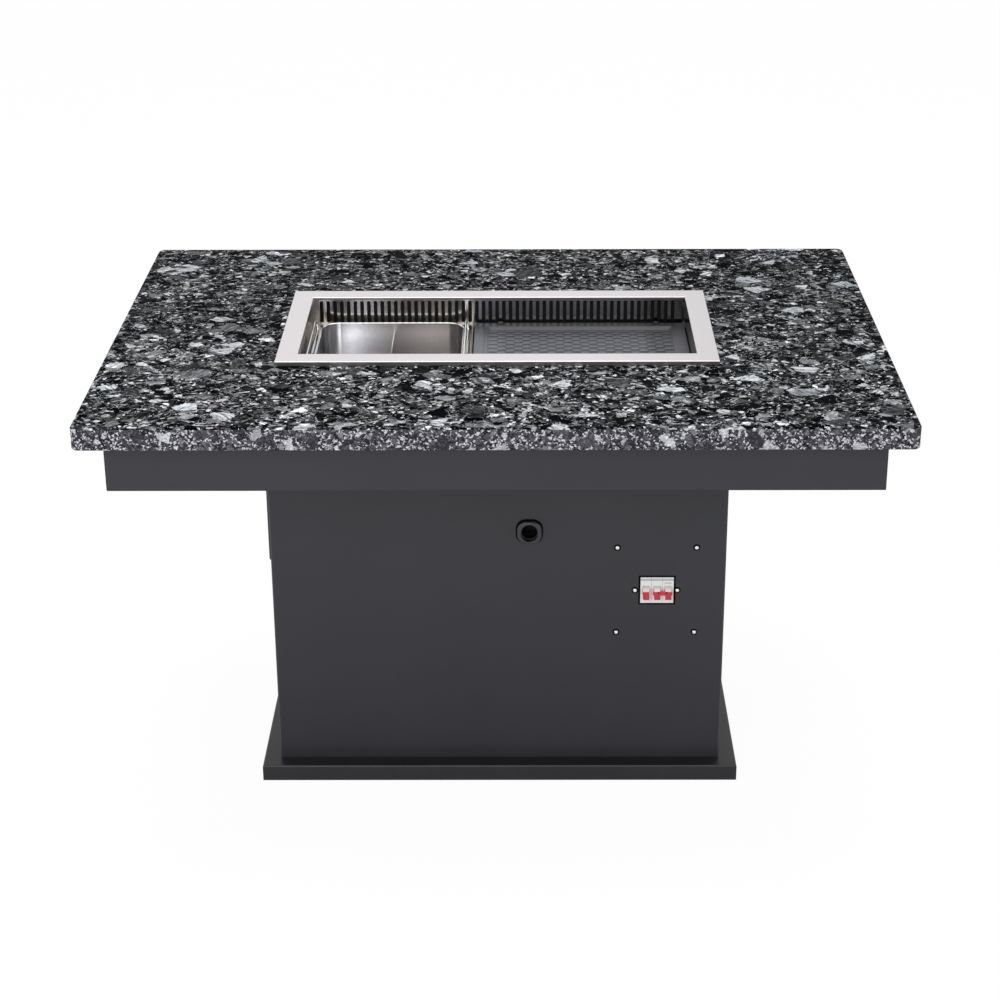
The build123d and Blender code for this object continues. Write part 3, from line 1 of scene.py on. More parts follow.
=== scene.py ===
# %% [markdown]
# # Hotpot and barbecue table: finishes, small parts, light and camera
#
# The table arrives as finished sheet-metal, stone and casting shapes. This
# lesson gives each of them the surface it has in a restaurant, adds the small
# pieces that are too fine for the mechanical model, and lights it like a
# catalogue picture. Loading comes first, because every later cell asks the
# loaded frame where things are.

# %% Load the frame
import math

import bpy
import bmesh
from mathutils import Matrix, Vector


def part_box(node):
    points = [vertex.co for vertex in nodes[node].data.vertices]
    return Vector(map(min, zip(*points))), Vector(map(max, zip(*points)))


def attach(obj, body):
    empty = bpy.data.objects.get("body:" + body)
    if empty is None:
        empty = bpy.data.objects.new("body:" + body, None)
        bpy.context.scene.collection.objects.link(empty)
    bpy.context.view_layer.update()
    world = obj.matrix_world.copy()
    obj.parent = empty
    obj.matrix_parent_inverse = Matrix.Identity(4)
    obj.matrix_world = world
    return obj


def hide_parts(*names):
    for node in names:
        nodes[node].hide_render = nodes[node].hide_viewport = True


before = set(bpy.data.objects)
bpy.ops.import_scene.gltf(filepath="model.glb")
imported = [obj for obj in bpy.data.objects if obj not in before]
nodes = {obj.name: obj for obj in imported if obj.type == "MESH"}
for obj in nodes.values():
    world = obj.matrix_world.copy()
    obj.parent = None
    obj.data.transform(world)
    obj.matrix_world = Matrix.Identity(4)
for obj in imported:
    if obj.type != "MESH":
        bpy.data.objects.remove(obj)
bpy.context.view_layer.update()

# %% [markdown]
# ## Shader maths that reads like maths
#
# A finish is a small network of nodes. Wiring each Math node by hand hides
# the idea behind the plumbing, so a wrapper lets sockets be added, multiplied
# and compared in plain expressions. An edge between 0 and 1 is given a soft
# step, because a hard one looks jagged from close by.

# %% A socket that can be used in sums
class Value:
    """One output of a node, usable in plain arithmetic."""

    def __init__(self, network, socket):
        self.network = network
        self.socket = socket

    def maths(self, operation, *terms, clamp=False):
        settings = {"operation": operation, "use_clamp": clamp}
        return self.network.node("ShaderNodeMath", settings, *terms)

    def __add__(self, other):
        return self.maths("ADD", self, other)

    def __sub__(self, other):
        return self.maths("SUBTRACT", self, other)

    def __rsub__(self, other):
        return self.maths("SUBTRACT", other, self)

    def __mul__(self, other):
        return self.maths("MULTIPLY", self, other)

    def __truediv__(self, other):
        return self.maths("DIVIDE", self, other)

    __radd__ = __add__
    __rmul__ = __mul__

    def size(self):
        return self.maths("ABSOLUTE", self)

    def over(self, edge, soft=0.001):
        """0 below the edge and 1 above it, with a soft step between."""
        return self.maths("DIVIDE", self - (edge - soft / 2), soft, clamp=True)

    def under(self, edge, soft=0.001):
        return 1 - self.over(edge, soft)

    def between(self, low, high, soft):
        return self.over(low, soft) * self.under(high, soft)

    def beside(self, output):
        """Another output of the same node."""
        return Value(self.network, self.socket.node.outputs[output])


# %% [markdown]
# Every other node comes from one method, which takes the node's type, its
# settings, and the values or links of its sockets. A finish is a network that
# belongs to a material and ends in one shader. It has short names for the
# patterns that come back in most surfaces.

# %% Networks and finishes
class Network:
    """The nodes of one tree, all made and joined in the same way."""

    def __init__(self, tree):
        self.tree = tree

    def node(self, kind, settings=None, *sockets, output=0, **named):
        """Makes and sets a node, and fills its sockets in order or by name."""
        made = self.tree.nodes.new(kind)
        for key, setting in (settings or {}).items():
            if key == "stops":
                ramp = made.color_ramp
                while len(ramp.elements) < len(setting):
                    ramp.elements.new(0.5)
                for element, (position, colour) in zip(ramp.elements, setting):
                    element.position = position
                    element.color = (*colour, 1)
            else:
                setattr(made, key, setting)
        for slot, item in enumerate(sockets):
            self.plug(made.inputs[slot], item)
        for key, item in named.items():
            self.plug(made.inputs[key.replace("_", " ")], item)
        return Value(self, made.outputs[output])

    def plug(self, socket, item):
        if isinstance(item, Value):
            self.tree.links.new(item.socket, socket)
        elif isinstance(item, (tuple, list)) and socket.type == "RGBA":
            socket.default_value = (*item[:3], 1)
        else:
            socket.default_value = item


class Finish(Network):
    """A material that is built up from nodes and ends in one shader."""

    def __init__(self, name):
        self.material = bpy.data.materials.new(name)
        self.material.use_nodes = True
        super().__init__(self.material.node_tree)
        self.shader = self.tree.nodes["Principled BSDF"]
        self.place = self.node("ShaderNodeTexCoord", output="Object")

    def axes(self):
        parted = self.node("ShaderNodeSeparateXYZ", None, self.place)
        return [parted.beside(axis) for axis in range(3)]

    def mapped(self, place, **settings):
        """Coordinates turned or scaled, for a pattern that runs one way."""
        return self.node("ShaderNodeMapping", None, Vector=place, **settings)

    def noise(self, scale, detail=3.0, rough=0.55, where=None):
        return self.node(
            "ShaderNodeTexNoise", None, Vector=where or self.place,
            Scale=scale, Detail=detail, Roughness=rough,
        )

    def cells(self, scale, feature="F1", output="Distance", where=None, randomness=1.0):
        return self.node(
            "ShaderNodeTexVoronoi", {"feature": feature}, output=output,
            Vector=where or self.place, Scale=scale, Randomness=randomness,
        )

    def blend(self, factor, first, second, how="MIX"):
        """Mixes two colours, at the sockets that a Mix node keeps for colours."""
        settings = {"data_type": "RGBA", "blend_type": how}
        mixed = self.node("ShaderNodeMix", settings, factor, output=2)
        for slot, colour in ((6, first), (7, second)):
            self.plug(mixed.socket.node.inputs[slot], colour)
        return mixed

    def ramp(self, value, *stops):
        return self.node("ShaderNodeValToRGB", {"stops": stops}, value)

    def along(self, place, low, high, *stops):
        """Multipliers laid out between two places on an axis, at (place, tint)."""
        span = high - low
        return self.ramp(
            (place - low) / span,
            *[((at - low) / span, tint if isinstance(tint, tuple) else (tint,) * 3)
              for at, tint in stops],
        )

    def times(self, colour, *multipliers):
        for multiplier in multipliers:
            colour = self.blend(1.0, colour, multiplier, how="MULTIPLY")
        return colour

    def bump(self, height, strength=0.3, distance=0.0005):
        relief = self.node(
            "ShaderNodeBump", None, Height=height, Strength=strength, Distance=distance
        )
        self.plug(self.shader.inputs["Normal"], relief)

    def surface(self, **sockets):
        for key, item in sockets.items():
            self.plug(self.shader.inputs[key.replace("_", " ")], item)
        return self.material


# %% [markdown]
# Colours are easiest to pick as screen values from 0 to 255, but a shader works
# with amounts of light. One function turns the first into the second, and
# another puts a finished material on pieces by name.

# %% Colours and dressing
def screen(red, green, blue):
    """A colour picked on a screen (0 to 255), as light-linear values."""
    linear = []
    for channel in (red, green, blue):
        part = channel / 255
        linear.append(part / 12.92 if part < 0.04045 else ((part + 0.055) / 1.055) ** 2.4)
    return tuple(linear)


def dress(material, *names):
    """Puts a finish on CAD pieces by name."""
    for name in names:
        nodes[name].data.materials.clear()
        nodes[name].data.materials.append(material)
    print(material.name, "on", ", ".join(names))


print("middle grey gives", round(screen(128, 128, 128)[0], 3), "of the light")

# %% [markdown]
# ## Polished engineered stone
#
# The top is crushed rock set in black resin and polished flat. Up close it is
# a crowd of broken chips, from crumbs to pieces as long as a thumb, in every
# grey from black to pearl, and each large chip has its own grain that runs its
# own way. Cell patterns give chips with broken outlines, which noise alone
# never does. So the chips are cells on warped coordinates, laid in layers from
# fine to coarse. Each cell's own random numbers decide its grey, whether it
# shows at all, and the angle that its grain is turned to.

# %% Tools for chips
warp = 0.009  # metres that a chip's outline wanders
stone = Finish("crushed_stone")
stone_x, stone_y, stone_z = stone.axes()
wobble = stone.node(
    "ShaderNodeTexNoise", None, output=1, Vector=stone.place, Scale=140.0, Detail=4.0,
    Roughness=0.72,
)
bent = stone.node(
    "ShaderNodeVectorMath", {"operation": "MULTIPLY_ADD"}, wobble, (warp, warp, warp),
    stone.place,
)


def chips(scale, slant, wide=1.0, long=1.0):
    """Three random numbers for every chip of one size."""
    turned = stone.mapped(bent, Rotation=(0, 0, slant), Scale=(1 / wide, 1 / long, 1))
    colours = stone.cells(scale, output="Color", where=turned)
    numbers = stone.node("ShaderNodeSeparateColor", None, colours)
    return [numbers.beside(number) for number in range(3)]


def greys(value, *stops):
    return stone.ramp(
        value, *[(at, screen(tone - 1, tone, tone + 2)) for at, tone in stops]
    )


def streaks(angle, length, width, detail=3):
    """Grain that runs at an angle, which may differ from chip to chip."""
    turn = (angle - 0.5) * 2.2
    cosine, sine = turn.maths("COSINE", turn), turn.maths("SINE", turn)
    place = stone.node(
        "ShaderNodeCombineXYZ", None,
        (stone_x * cosine + stone_y * sine) * length,
        (stone_y * cosine - stone_x * sine) * width, stone_z * width,
    )
    return stone.noise(1.0, detail, 0.68, where=place)


def scatter(colour, share, tones, size, grain, lights, cover=1.0):
    """Lays one size of chip over a colour, each with its own grey and grain."""
    shade, chance, angle = chips(*size)
    stops = [(at, (level,) * 3) for at, level in zip((0.34, 0.50, 0.66), lights)]
    light = stone.ramp(streaks(angle, *grain), *stops)
    chip = stone.times(greys(shade, *tones), light)
    return stone.blend(chance.over(1 - share, 0.01) * cover, colour, chip)


print("chip outlines wander", warp * 1000, "mm")

# %% [markdown]
# The ground is made of large dark chips with pale veins, under a dust of fine
# crumbs. Three sizes of chip are then strewn over it. The larger they are, the
# fewer of them show.

# %% Ground, crumbs and chips
def lay_chips():
    angle, bright, _ = chips(34, 0.5, 1.3, 1.3)
    veins = streaks(angle, 45, 150, 5) + (bright - 0.5) * 0.10
    ground = greys(
        veins, (0.37, 1), (0.45, 14), (0.52, 60), (0.58, 132), (0.635, 225), (0.69, 255)
    )
    shade, chance, _ = chips(240, 0.2)
    crumbs = greys(
        shade, (0.0, 3), (0.42, 14), (0.62, 60), (0.80, 130), (0.92, 245), (1.0, 255)
    )
    colour = stone.blend(chance.over(0.66, 0.01), ground, crumbs)
    for scale, slant, share, tones in (
        (120, -0.6, 0.22, ((0.0, 3), (0.42, 16), (0.66, 80), (0.86, 160), (1.0, 255))),
        (66, 0.3, 0.16, ((0.0, 3), (0.40, 22), (0.68, 84), (0.88, 150), (1.0, 255))),
        (40, -0.2, 0.05, ((0.0, 4), (0.36, 28), (0.72, 90), (0.93, 130), (1.0, 255))),
    ):
        size = (scale, slant, 1.25, 1.05)
        colour = scatter(colour, share, tones, size, (60, 220), (0.35, 0.85, 1.9))
    return colour


# %% [markdown]
# Resin and quartz dust show as thin pale seams round some of the chips, and a
# few large pieces of pearly quartz catch the eye from across the room. The
# distance to a cell's edge draws the seams, and a noise breaks them up.

# %% Seams and pearly pieces
def add_seams_and_pearls(colour):
    seam = stone.cells(
        85, feature="DISTANCE_TO_EDGE", where=stone.mapped(bent, Scale=(0.8, 1.0, 1.0))
    )
    dust_and_shade = stone.noise(60, 3)
    seams = seam.under(0.020, 0.02) * dust_and_shade.over(0.55, 0.06)
    colour = stone.blend(seams * 0.8, colour, screen(214, 216, 218))
    chance, angle, _ = chips(48, 0.35, 1.5, 1.0)
    facet = streaks(angle, 60, 240)
    pearl = stone.blend(
        facet.over(0.5, 0.25), screen(140, 147, 156), screen(246, 250, 253)
    )
    return stone.blend(
        chance.over(0.976, 0.002) * facet.over(0.40, 0.1), colour, pearl
    )


# %% [markdown]
# The slab's edge was sawn and polished less. There the same rock looks finer
# and a little purple: bright crumbs between dark ones, with a few larger pale
# and dark pieces cut through. A mask on the height decides where the face ends
# and the sawn edge begins. The face itself carries painted shade, from paler
# greys at the front to darker ones at the back.

# %% Sawn edge and polish
stone_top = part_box("table_top")[1][2]
edge_drop = 0.0022  # metres below the face where the sawn edge begins


def sawn_edge():
    shade, _, _ = chips(420, 0.0)
    colour = greys(shade, (0.0, 10), (0.40, 56), (0.70, 114), (0.84, 250), (1.0, 255))
    for scale, share, tones in (
        (150, 0.28, ((0.0, 26), (0.55, 78), (0.85, 120), (1.0, 255))),
        (60, 0.12, ((0.0, 46), (0.60, 80), (0.78, 230), (1.0, 255))),
    ):
        colour = scatter(
            colour, share, tones, (scale, 0.3), (70, 300), (0.5, 0.9, 1.6), cover=0.9
        )
    colour = stone.blend(0.10, colour, screen(122, 117, 138))
    return stone.times(colour, (0.84, 0.83, 0.85))


def finish_stone():
    face = add_seams_and_pearls(lay_chips())
    # Painted shade: the face's greys grow darker from the front to the back.
    depth = stone.along(
        stone_y, -0.42, 0.42, (-0.38, 0.97), (-0.20, 0.90), (0.02, 0.69), (0.40, 0.67)
    )
    edge = stone_z.under(stone_top - edge_drop, 0.0008)
    haze = stone.noise(1500, 2)
    stone.bump(haze, 0.02, 0.0001)
    return stone.surface(
        Base_Color=stone.blend(edge, stone.times(face, depth), sawn_edge()),
        Roughness=0.16 + 0.10 * haze, IOR=1.02,
    )


dress(finish_stone(), "table_top")

# %% [markdown]
# ## Powder coat
#
# The pedestal, apron and plinth are folded steel with a charcoal powder coat.
# Sprayed powder melts into a faint orange peel, so the finish is one even colour
# with a fine bump, a little drift in the gloss and a darkening towards the floor.
# The plinth and the front panel get painted light from a second function: painted
# shade on the plinth's top, and painted highlights along the folds.

# %% Powder-coated steel
def make_coat(name, colour, gloss=0.42, painted_light=None):
    coat = Finish(name)
    _, _, z = coat.axes()
    drift = coat.noise(5, 4)
    grain = coat.noise(900, 2)
    peel = coat.noise(260, 2)
    lower = z.under(0.30, 0.60)
    light = tuple(channel * 1.16 for channel in colour)
    dark = tuple(channel * 0.72 for channel in colour)
    tone = coat.blend(drift, dark, light)
    tone = coat.blend(grain * 0.25, tone, light)
    # Darker towards the floor.
    tone = coat.blend(lower * 0.45, tone, dark)
    coat.bump(peel + grain * 0.3, 0.12, 0.0003)
    # A second function may add painted light of the piece's own.
    if painted_light:
        tone = painted_light(coat, tone)
    return coat.surface(Base_Color=tone, Roughness=gloss - 0.06 + drift * 0.12)


def plinth_painted_light(coat, tone):
    """Painted shade on the top, and a painted highlight along the front fold."""
    _, y, z = coat.axes()
    low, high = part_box("base_plinth")
    top = z.over(high[2] - 0.0006, 0.0004)
    fold = top * y.under(low[1] + 0.0016, 0.0004)
    # Painted shade darkens the top.
    tone = coat.blend(top * 0.72, tone, screen(14, 14, 17))
    # Painted highlight along the top of the front fold.
    return coat.blend(fold * 0.8, tone, screen(92, 92, 96))


def panel_painted_highlight(coat, tone):
    """Painted highlights along the two upright folds."""
    x, _, _ = coat.axes()
    low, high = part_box("pedestal_front")
    folds = x.under(low[0] + 0.0022, 0.001) + x.over(high[0] - 0.0022, 0.001)
    # Painted highlights on the folds.
    return coat.blend(folds * 0.35, tone, screen(96, 96, 100))


coat_grey = screen(51, 51, 56)
dress(
    make_coat("charcoal_powder_coat", coat_grey),
    "apron_front", "apron_back", "apron_left", "apron_right", "apron_floor",
    "pedestal_back", "pedestal_left", "pedestal_right", "drawer_front",
)
dress(make_coat("plinth_coat", screen(48, 48, 52), painted_light=plinth_painted_light), "base_plinth")
dress(make_coat("panel_coat", coat_grey, painted_light=panel_painted_highlight), "pedestal_front")
dress(make_coat("motor_enamel", screen(88, 92, 96), 0.35), "fan_motor")

# %% [markdown]
# ## Stainless steel
#
# Two stainless finishes meet at the stove: a satin one with short brushed
# lines on the trim, and a bright polished one on the liner and pot. Both are
# the same metal, so one function makes them, with the brush direction, the
# roughness and the strength of the lines as its settings.

# %% Stainless steel
along_x, along_y, along_z = (1, 40, 40), (40, 1, 40), (40, 40, 1)
clouds = 0.15  # how strongly a sheet's gloss drifts over a hand's width


def make_steel(name, tint, roughness, brush, lines=0.5, stains_and_painted_light=None):
    steel = Finish(name)
    scratch = steel.noise(60, 3, where=steel.mapped(steel.place, Scale=brush))
    hair = steel.noise(190, 2, where=steel.mapped(steel.place, Scale=brush))
    smear = steel.noise(7, 4)
    dark = tuple(channel * (1 - 0.28 * lines) for channel in tint)
    tone = steel.blend(scratch, dark, tint)
    tone = steel.blend(smear * clouds, tone, dark)
    rough = roughness + (scratch - 0.5) * 0.16 * lines + (smear - 0.5) * clouds * 0.5
    steel.bump(hair * 0.6 + scratch * 0.4, 0.06 * lines, 0.0002)
    if stains_and_painted_light:
        tone = steel.times(tone, stains_and_painted_light(steel))
    return steel.surface(Base_Color=tone, Metallic=1.0, Roughness=rough)


dress(make_steel("polished_end", screen(112, 110, 109), 0.20, along_y, 0.35),
      "liner_end_left", "liner_end_right", "bay_partition")
dress(make_steel("deck_steel", screen(146, 137, 126), 0.26, along_x, 0.35), "pot_deck")
# This dark grey is painted shade for the gap beside the grill plate.
dress(make_steel("ledge_steel", screen(92, 92, 94), 0.3, along_x, 0.35),
      "grill_ledges", "liner_floor")
wire_steel = make_steel("wire_steel", screen(220, 220, 222), 0.12, along_y, 0.2)
dress(wire_steel, "pot_handle_left", "pot_handle_right")
screw_steel = make_steel("screw_steel", screen(252, 250, 244), 0.3, along_z, 0.15)
dress(screw_steel, "panel_screws", "back_screws", "motor_shaft")

# %% [markdown]
# Steel round a fire doesn't stay one colour. The pot has straw-coloured heat
# tints. The slotted walls carry painted shade, warm beside the pot and grey beside
# the grill, and the trim has painted shade on its right-hand strip and folded edge.
# Each of these is a row of multipliers laid out along the metal.

# %% Heat tints and painted shade
trim_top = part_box("trim_frame")[1][2]
trim_sheet = 0.0012
straw = (0.83, 0.805, 0.78)


def wall_painted_shade(steel):
    """Painted shade: warm beside the pot, grey beside the grill and deepest at the
    right-hand end.
    """
    x, _, _ = steel.axes()
    unshaded, warm, grill_side_shade = (1.0, 0.98, 0.95), (0.78, 0.76, 0.72), (0.62, 0.62, 0.63)
    # Painted shade along the wall, from the pot bay to the right-hand end of the grill
    # bay.
    return steel.along(
        x, -0.30, 0.30, (-0.285, unshaded), (-0.25, warm), (-0.10, warm), (-0.06, unshaded),
        (-0.03, grill_side_shade), (0.23, 0.56), (0.26, 0.30),
    )


def pot_heat(steel):
    """Clean where the ladle scours the left side, and straw-coloured elsewhere."""
    x, _, _ = steel.axes()
    return steel.along(
        x, -0.30, -0.04, (-0.283, 0.9), (-0.262, 1.45), (-0.245, 1.4), (-0.222, 1.0),
        (-0.205, (0.90, 0.885, 0.87)), (-0.178, (0.80, 0.78, 0.765)), (-0.160, straw),
        (-0.112, (0.885, 0.86, 0.835)), (-0.070, straw),
    )


def trim_painted_shade(steel):
    """Painted shade: a little darker on the right-hand strip and down the folded edge."""
    x, _, z = steel.axes()
    # Painted shade on the right-hand strip.
    right_strip_shade = 1 - x.over(0.25, 0.25) * 0.12
    # Painted shade down the folded edge.
    return right_strip_shade * (1 - z.under(trim_top - trim_sheet, 0.0006) * 0.5)


for name, tint, roughness, lines, stains_and_painted_light, pieces in (
    ("satin_stainless", (224, 220, 222), 0.34, 0.5, trim_painted_shade,
     ("trim_frame", "water_pan", "drawer_tray", "filter_cassette")),
    ("polished_wall", (214, 214, 216), 0.16, 0.35, wall_painted_shade,
     ("intake_wall_front", "intake_wall_back")),
    ("pot_steel", (212, 212, 214), 0.22, 0.4, pot_heat,
     ("hotpot_body", "pot_divider", "handle_hinges")),
):
    dress(make_steel(name, screen(*tint), roughness, along_x, lines, stains_and_painted_light), *pieces)

# %% [markdown]
# ## Zinc-coated sheet
#
# Hidden ducts and brackets are galvanised: large frosty crystals of zinc, each
# reflecting a little differently. Cells with a random brightness give that
# spangle directly. Zinc in the front half, behind the cable inlet, is darkened
# with painted shade.

# %% Galvanised steel
def make_zinc():
    zinc = Finish("galvanised_sheet")
    crystals = zinc.cells(85, output="Color", randomness=0.9)
    spangle = zinc.node("ShaderNodeSeparateColor", None, crystals)
    feather = zinc.noise(240, 4)
    _, y, _ = zinc.axes()
    # Painted shade: zinc in front of the middle is darkened.
    dust_and_shade = zinc.along(y, -0.15, 0.15, (-0.02, 0.22), (0.0, 1.0))
    tone = zinc.blend(spangle, screen(112, 115, 119), screen(158, 161, 164))
    tone = zinc.blend(feather * 0.3, tone, screen(92, 95, 99))
    return zinc.surface(
        Base_Color=zinc.times(tone, dust_and_shade), Metallic=0.9,
        Roughness=0.36 + spangle * 0.14 + feather * 0.05,
    )


dress(
    make_zinc(),
    "cross_bearers", "long_bearers", "corner_posts", "filter_chamber",
    "drawer_runners", "fan_housing", "fan_cover", "impeller",
    "exhaust_elbow", "exhaust_duct", "heater_brackets", "din_rail",
)

# %% [markdown]
# ## Castings, heater, glass and plastics
#
# The rest are quick finishes of one kind: a base colour with drift, a grain and
# a bump at the right scale. A table of numbers is the shortest way to write them,
# because only the numbers differ.

# %% Plain finishes
def make_plain(name, low, high, grain_scale, roughness, bump=0.1, metal=0.0, stains_and_painted_light=None):
    plain = Finish(name)
    drift = plain.noise(12, 3)
    grain = plain.noise(grain_scale, 3)
    tone = plain.blend(drift * 0.5 + grain * 0.5, screen(*low), screen(*high))
    plain.bump(grain, bump, 0.0003)
    if stains_and_painted_light:
        tone = plain.times(tone, *stains_and_painted_light(plain))
    return plain.surface(
        Base_Color=tone, Roughness=roughness - 0.05 + grain * 0.1, Metallic=metal
    )


for name, low, high, grain_scale, roughness, bump, metal, pieces in (
    ("heater_sheath", (70, 64, 60), (112, 104, 98), 300, 0.45, 0.1, 1.0,
     ("grill_heater",)),
    ("black_housing", (22, 22, 24), (34, 34, 36), 800, 0.5, 0.1, 0.0,
     ("hob_body", "breaker_box")),
    # The casing is near black as painted shade, seen only through the intake slots.
    ("casing_painted_shade_black", (7, 7, 7), (13, 12, 12), 500, 0.7, 0.1, 0.0,
     ("casing_wrap", "casing_ends")),
    ("hob_glass", (8, 8, 9), (14, 14, 16), 40, 0.1, 0.0, 0.0,
     ("hob_glass",)),
):
    dress(make_plain(name, low, high, grain_scale, roughness, bump, metal), *pieces)

# %% [markdown]
# The grill plate is cast metal under a dark non-stick coat, so it has a fine
# pebble and a soft sheen. Painted light makes it lighter at the front and the left
# and darker at the back and the right, with painted highlights on the ribs. The
# cable bushing is moulded in black plastic, and painted shade darkens its bore.

# %% Painted light on the casting and painted shade in the bore
cast_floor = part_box("grill_plate")[1][2] - 0.0075  # the floor between the ribs
bushing_low, bushing_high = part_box("cable_bushing")


def plate_painted_light(plain):
    """Painted light: lighter at the front and left, darker at the back and right,
    highlights on the rib tops.
    """
    x, y, z = plain.axes()
    # Painted shade towards the back.
    back = plain.along(
        y, -0.12, 0.12, (-0.12, 1.15), (0.012, 1.1), (0.048, 0.95), (0.072, 0.58),
        (0.089, 0.44), (0.097, 0.27),
    )
    # Painted highlight at the left, painted shade at the right.
    side = plain.along(
        x, -0.04, 0.30, (0.0, 1.3), (0.012, 1.0), (0.232, 1.0), (0.246, 0.58)
    )
    # Painted highlights on the rib tops, painted shade on the floor between them.
    rib_light_and_shade = plain.along(
        z, cast_floor - 0.001, cast_floor + 0.004, (cast_floor, 0.92),
        (cast_floor + 0.0006, 0.92), (cast_floor + 0.0014, 1.45),
        (cast_floor + 0.0019, 1.45), (cast_floor + 0.0026, 1.0),
    )
    return back, side, rib_light_and_shade


def bore_painted_shade(plain):
    """Painted shade: black a few millimetres inside the bore."""
    _, y, _ = plain.axes()
    front = bushing_low[1]
    # Painted shade inside the bore.
    return [plain.along(
        y, front, front + 0.01, (front + 0.003, 1.0), (front + 0.0045, 0.10)
    )]


black_cast = make_plain(
    "non_stick_casting", (72, 73, 78), (96, 97, 103), 700, 0.46, 0.25, stains_and_painted_light=plate_painted_light
)
dress(black_cast, "grill_plate")
bushing_plastic = make_plain(
    "bushing_plastic", (50, 50, 55), (64, 64, 69), 900, 0.20, 0.03, stains_and_painted_light=bore_painted_shade
)
dress(bushing_plastic, "cable_bushing", "bushing_nut")

# %% [markdown]
# The board under the stone is plywood. A noise that is squeezed across the grain
# and through the layers gives its lines.

# %% Board
def make_board():
    board = Finish("plywood")
    grain = board.noise(18, 6, where=board.mapped(board.place, Scale=(1, 12, 60)))
    tone = board.ramp(grain, (0.3, screen(150, 112, 72)), (0.7, screen(206, 170, 122)))
    board.bump(grain, 0.2, 0.0004)
    return board.surface(Base_Color=tone, Roughness=0.65)


dress(make_board(), "backer_board")

# %% [markdown]
# ## Breaker faces
#
# Each module is moulded in white, with a printed grey band along its top edge.
# Thin seams part the modules, one has a red line, and two have a small dot. All
# of them are masks on the object's own coordinates, so they stay sharp however
# close the view is.

# %% Breakers
window_low, window_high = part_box("breaker_double")
single_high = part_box("breaker_single")[1]
module = (window_high[0] - window_low[0]) / 2
nose_front = window_low[1]
middle_z = (window_low[2] + window_high[2]) / 2
band_low, band_high = middle_z + 0.0165, middle_z + 0.0205
line_low, line_high = middle_z + 0.0118, middle_z + 0.0134
dot_z, dot_radius = middle_z + 0.0045, 0.0009


def make_breaker():
    white = Finish("breaker_moulding")
    x, y, z = white.axes()
    grain = white.noise(900, 2)
    drift = white.noise(30, 3)
    tone = white.blend(drift, screen(246, 246, 245), screen(253, 253, 252))
    face = y.under(nose_front + 0.0004, 0.0002)
    band = face * z.between(band_low, band_high, 0.0006)
    tone = white.blend(band * 0.55, tone, screen(128, 150, 152))
    line = z.between(line_low, line_high, 0.0004)
    line = line * x.between(window_high[0] - 0.0145, window_high[0] - 0.0030, 0.0005)
    tone = white.blend(face * line * 0.75, tone, screen(206, 96, 92))
    seam = 0
    for place in (single_high[0], single_high[0] + module):
        seam = seam + (x - place).size().under(0.0003, 0.0003)
    dot = 0
    for place in (single_high[0] - 0.005, single_high[0] + 0.0125):
        across, up = x - place, z - dot_z
        dot = dot + (across * across + up * up).under(dot_radius ** 2, 0.0000004)
    tone = white.blend(face * (seam * 0.5 + dot * 0.4), tone, screen(96, 104, 106))
    white.bump(grain, 0.05, 0.0002)
    return white.surface(Base_Color=tone, Roughness=0.4 + drift * 0.08)


dress(make_breaker(), "breaker_single", "breaker_double")

# %% [markdown]
# Each lever is a white drum with a red handle. The handle leaves the drum at an
# angle, so the colour changes along a slanted plane just above the handle. Two
# notches beside the handle get painted shade in dark red, from masks too.

# %% Levers
lever_low, lever_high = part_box("lever_double")
lever_middle = (lever_low[0] + lever_high[0]) / 2
lever_rest = math.radians(40)
pivot_y, pivot_z = nose_front + 0.001, middle_z
handle_top = 0.0046  # metres from the pivot to the change of colour
notch_z, notch_reach = middle_z - 0.0015, 0.0061
notch_half_width, notch_half_height = 0.0016, 0.0012


def make_lever():
    lever = Finish("lever_plastic")
    x, y, z = lever.axes()
    grain = lever.noise(700, 2)
    sheen = lever.noise(60, 2)
    above = (z - pivot_z) * math.cos(lever_rest) - (y - pivot_y) * math.sin(lever_rest)
    red = lever.blend(sheen, screen(226, 62, 68), screen(250, 100, 106))
    notch_shade = 0
    for side in (-1, 1):
        across = (x - (lever_middle + side * notch_reach)) / notch_half_width
        up = (z - notch_z) / notch_half_height
        notch_shade = notch_shade + (across * across + up * up).under(1.0, 0.3)
    # Painted shade in the two notches, on the handle's front.
    red = lever.blend(notch_shade * y.under(nose_front - 0.004, 0.001), red, screen(34, 8, 10))
    white = lever.blend(grain, screen(240, 240, 238), screen(250, 250, 248))
    lever.bump(grain, 0.05, 0.0002)
    return lever.surface(
        Base_Color=lever.blend(above.over(handle_top, 0.0002), red, white),
        Roughness=0.30 + grain * 0.08,
    )


dress(make_lever(), "lever_single", "lever_double")

# %% [markdown]
# ## Modelling by hand, in code
#
# The small pieces below are made the way a modeller's hands would make them: a
# primitive is dropped in at its size, chosen faces and edges are extruded, inset
# and bevelled, and modifiers finish the form. A few helpers keep that short. The
# first ones start a piece with nothing else selected, and settle an object's
# place, turn and size into its mesh.

# %% Starting and settling a piece
def select(*pieces):
    """Selects just these pieces, and makes the first the active one."""
    bpy.ops.object.select_all(action="DESELECT")
    for piece in pieces:
        piece.select_set(True)
    bpy.context.view_layer.objects.active = pieces[0]


def settle(piece):
    select(piece)
    bpy.ops.object.transform_apply(location=True, rotation=True, scale=True)
    return piece


def start(kind, **settings):
    """Adds a primitive, alone in the selection, with its place in its mesh."""
    bpy.ops.object.select_all(action="DESELECT")
    getattr(bpy.ops.mesh, f"primitive_{kind}_add")(**settings)
    return settle(bpy.context.object)


def middle_of(low, high):
    return [(a + b) / 2 for a, b in zip(low, high)]


def block(low, high):
    """A cube stretched between two corners, ready to be shaped."""
    piece = start("cube", size=1)
    piece.scale = [b - a for a, b in zip(low, high)]
    piece.location = middle_of(low, high)
    return settle(piece)


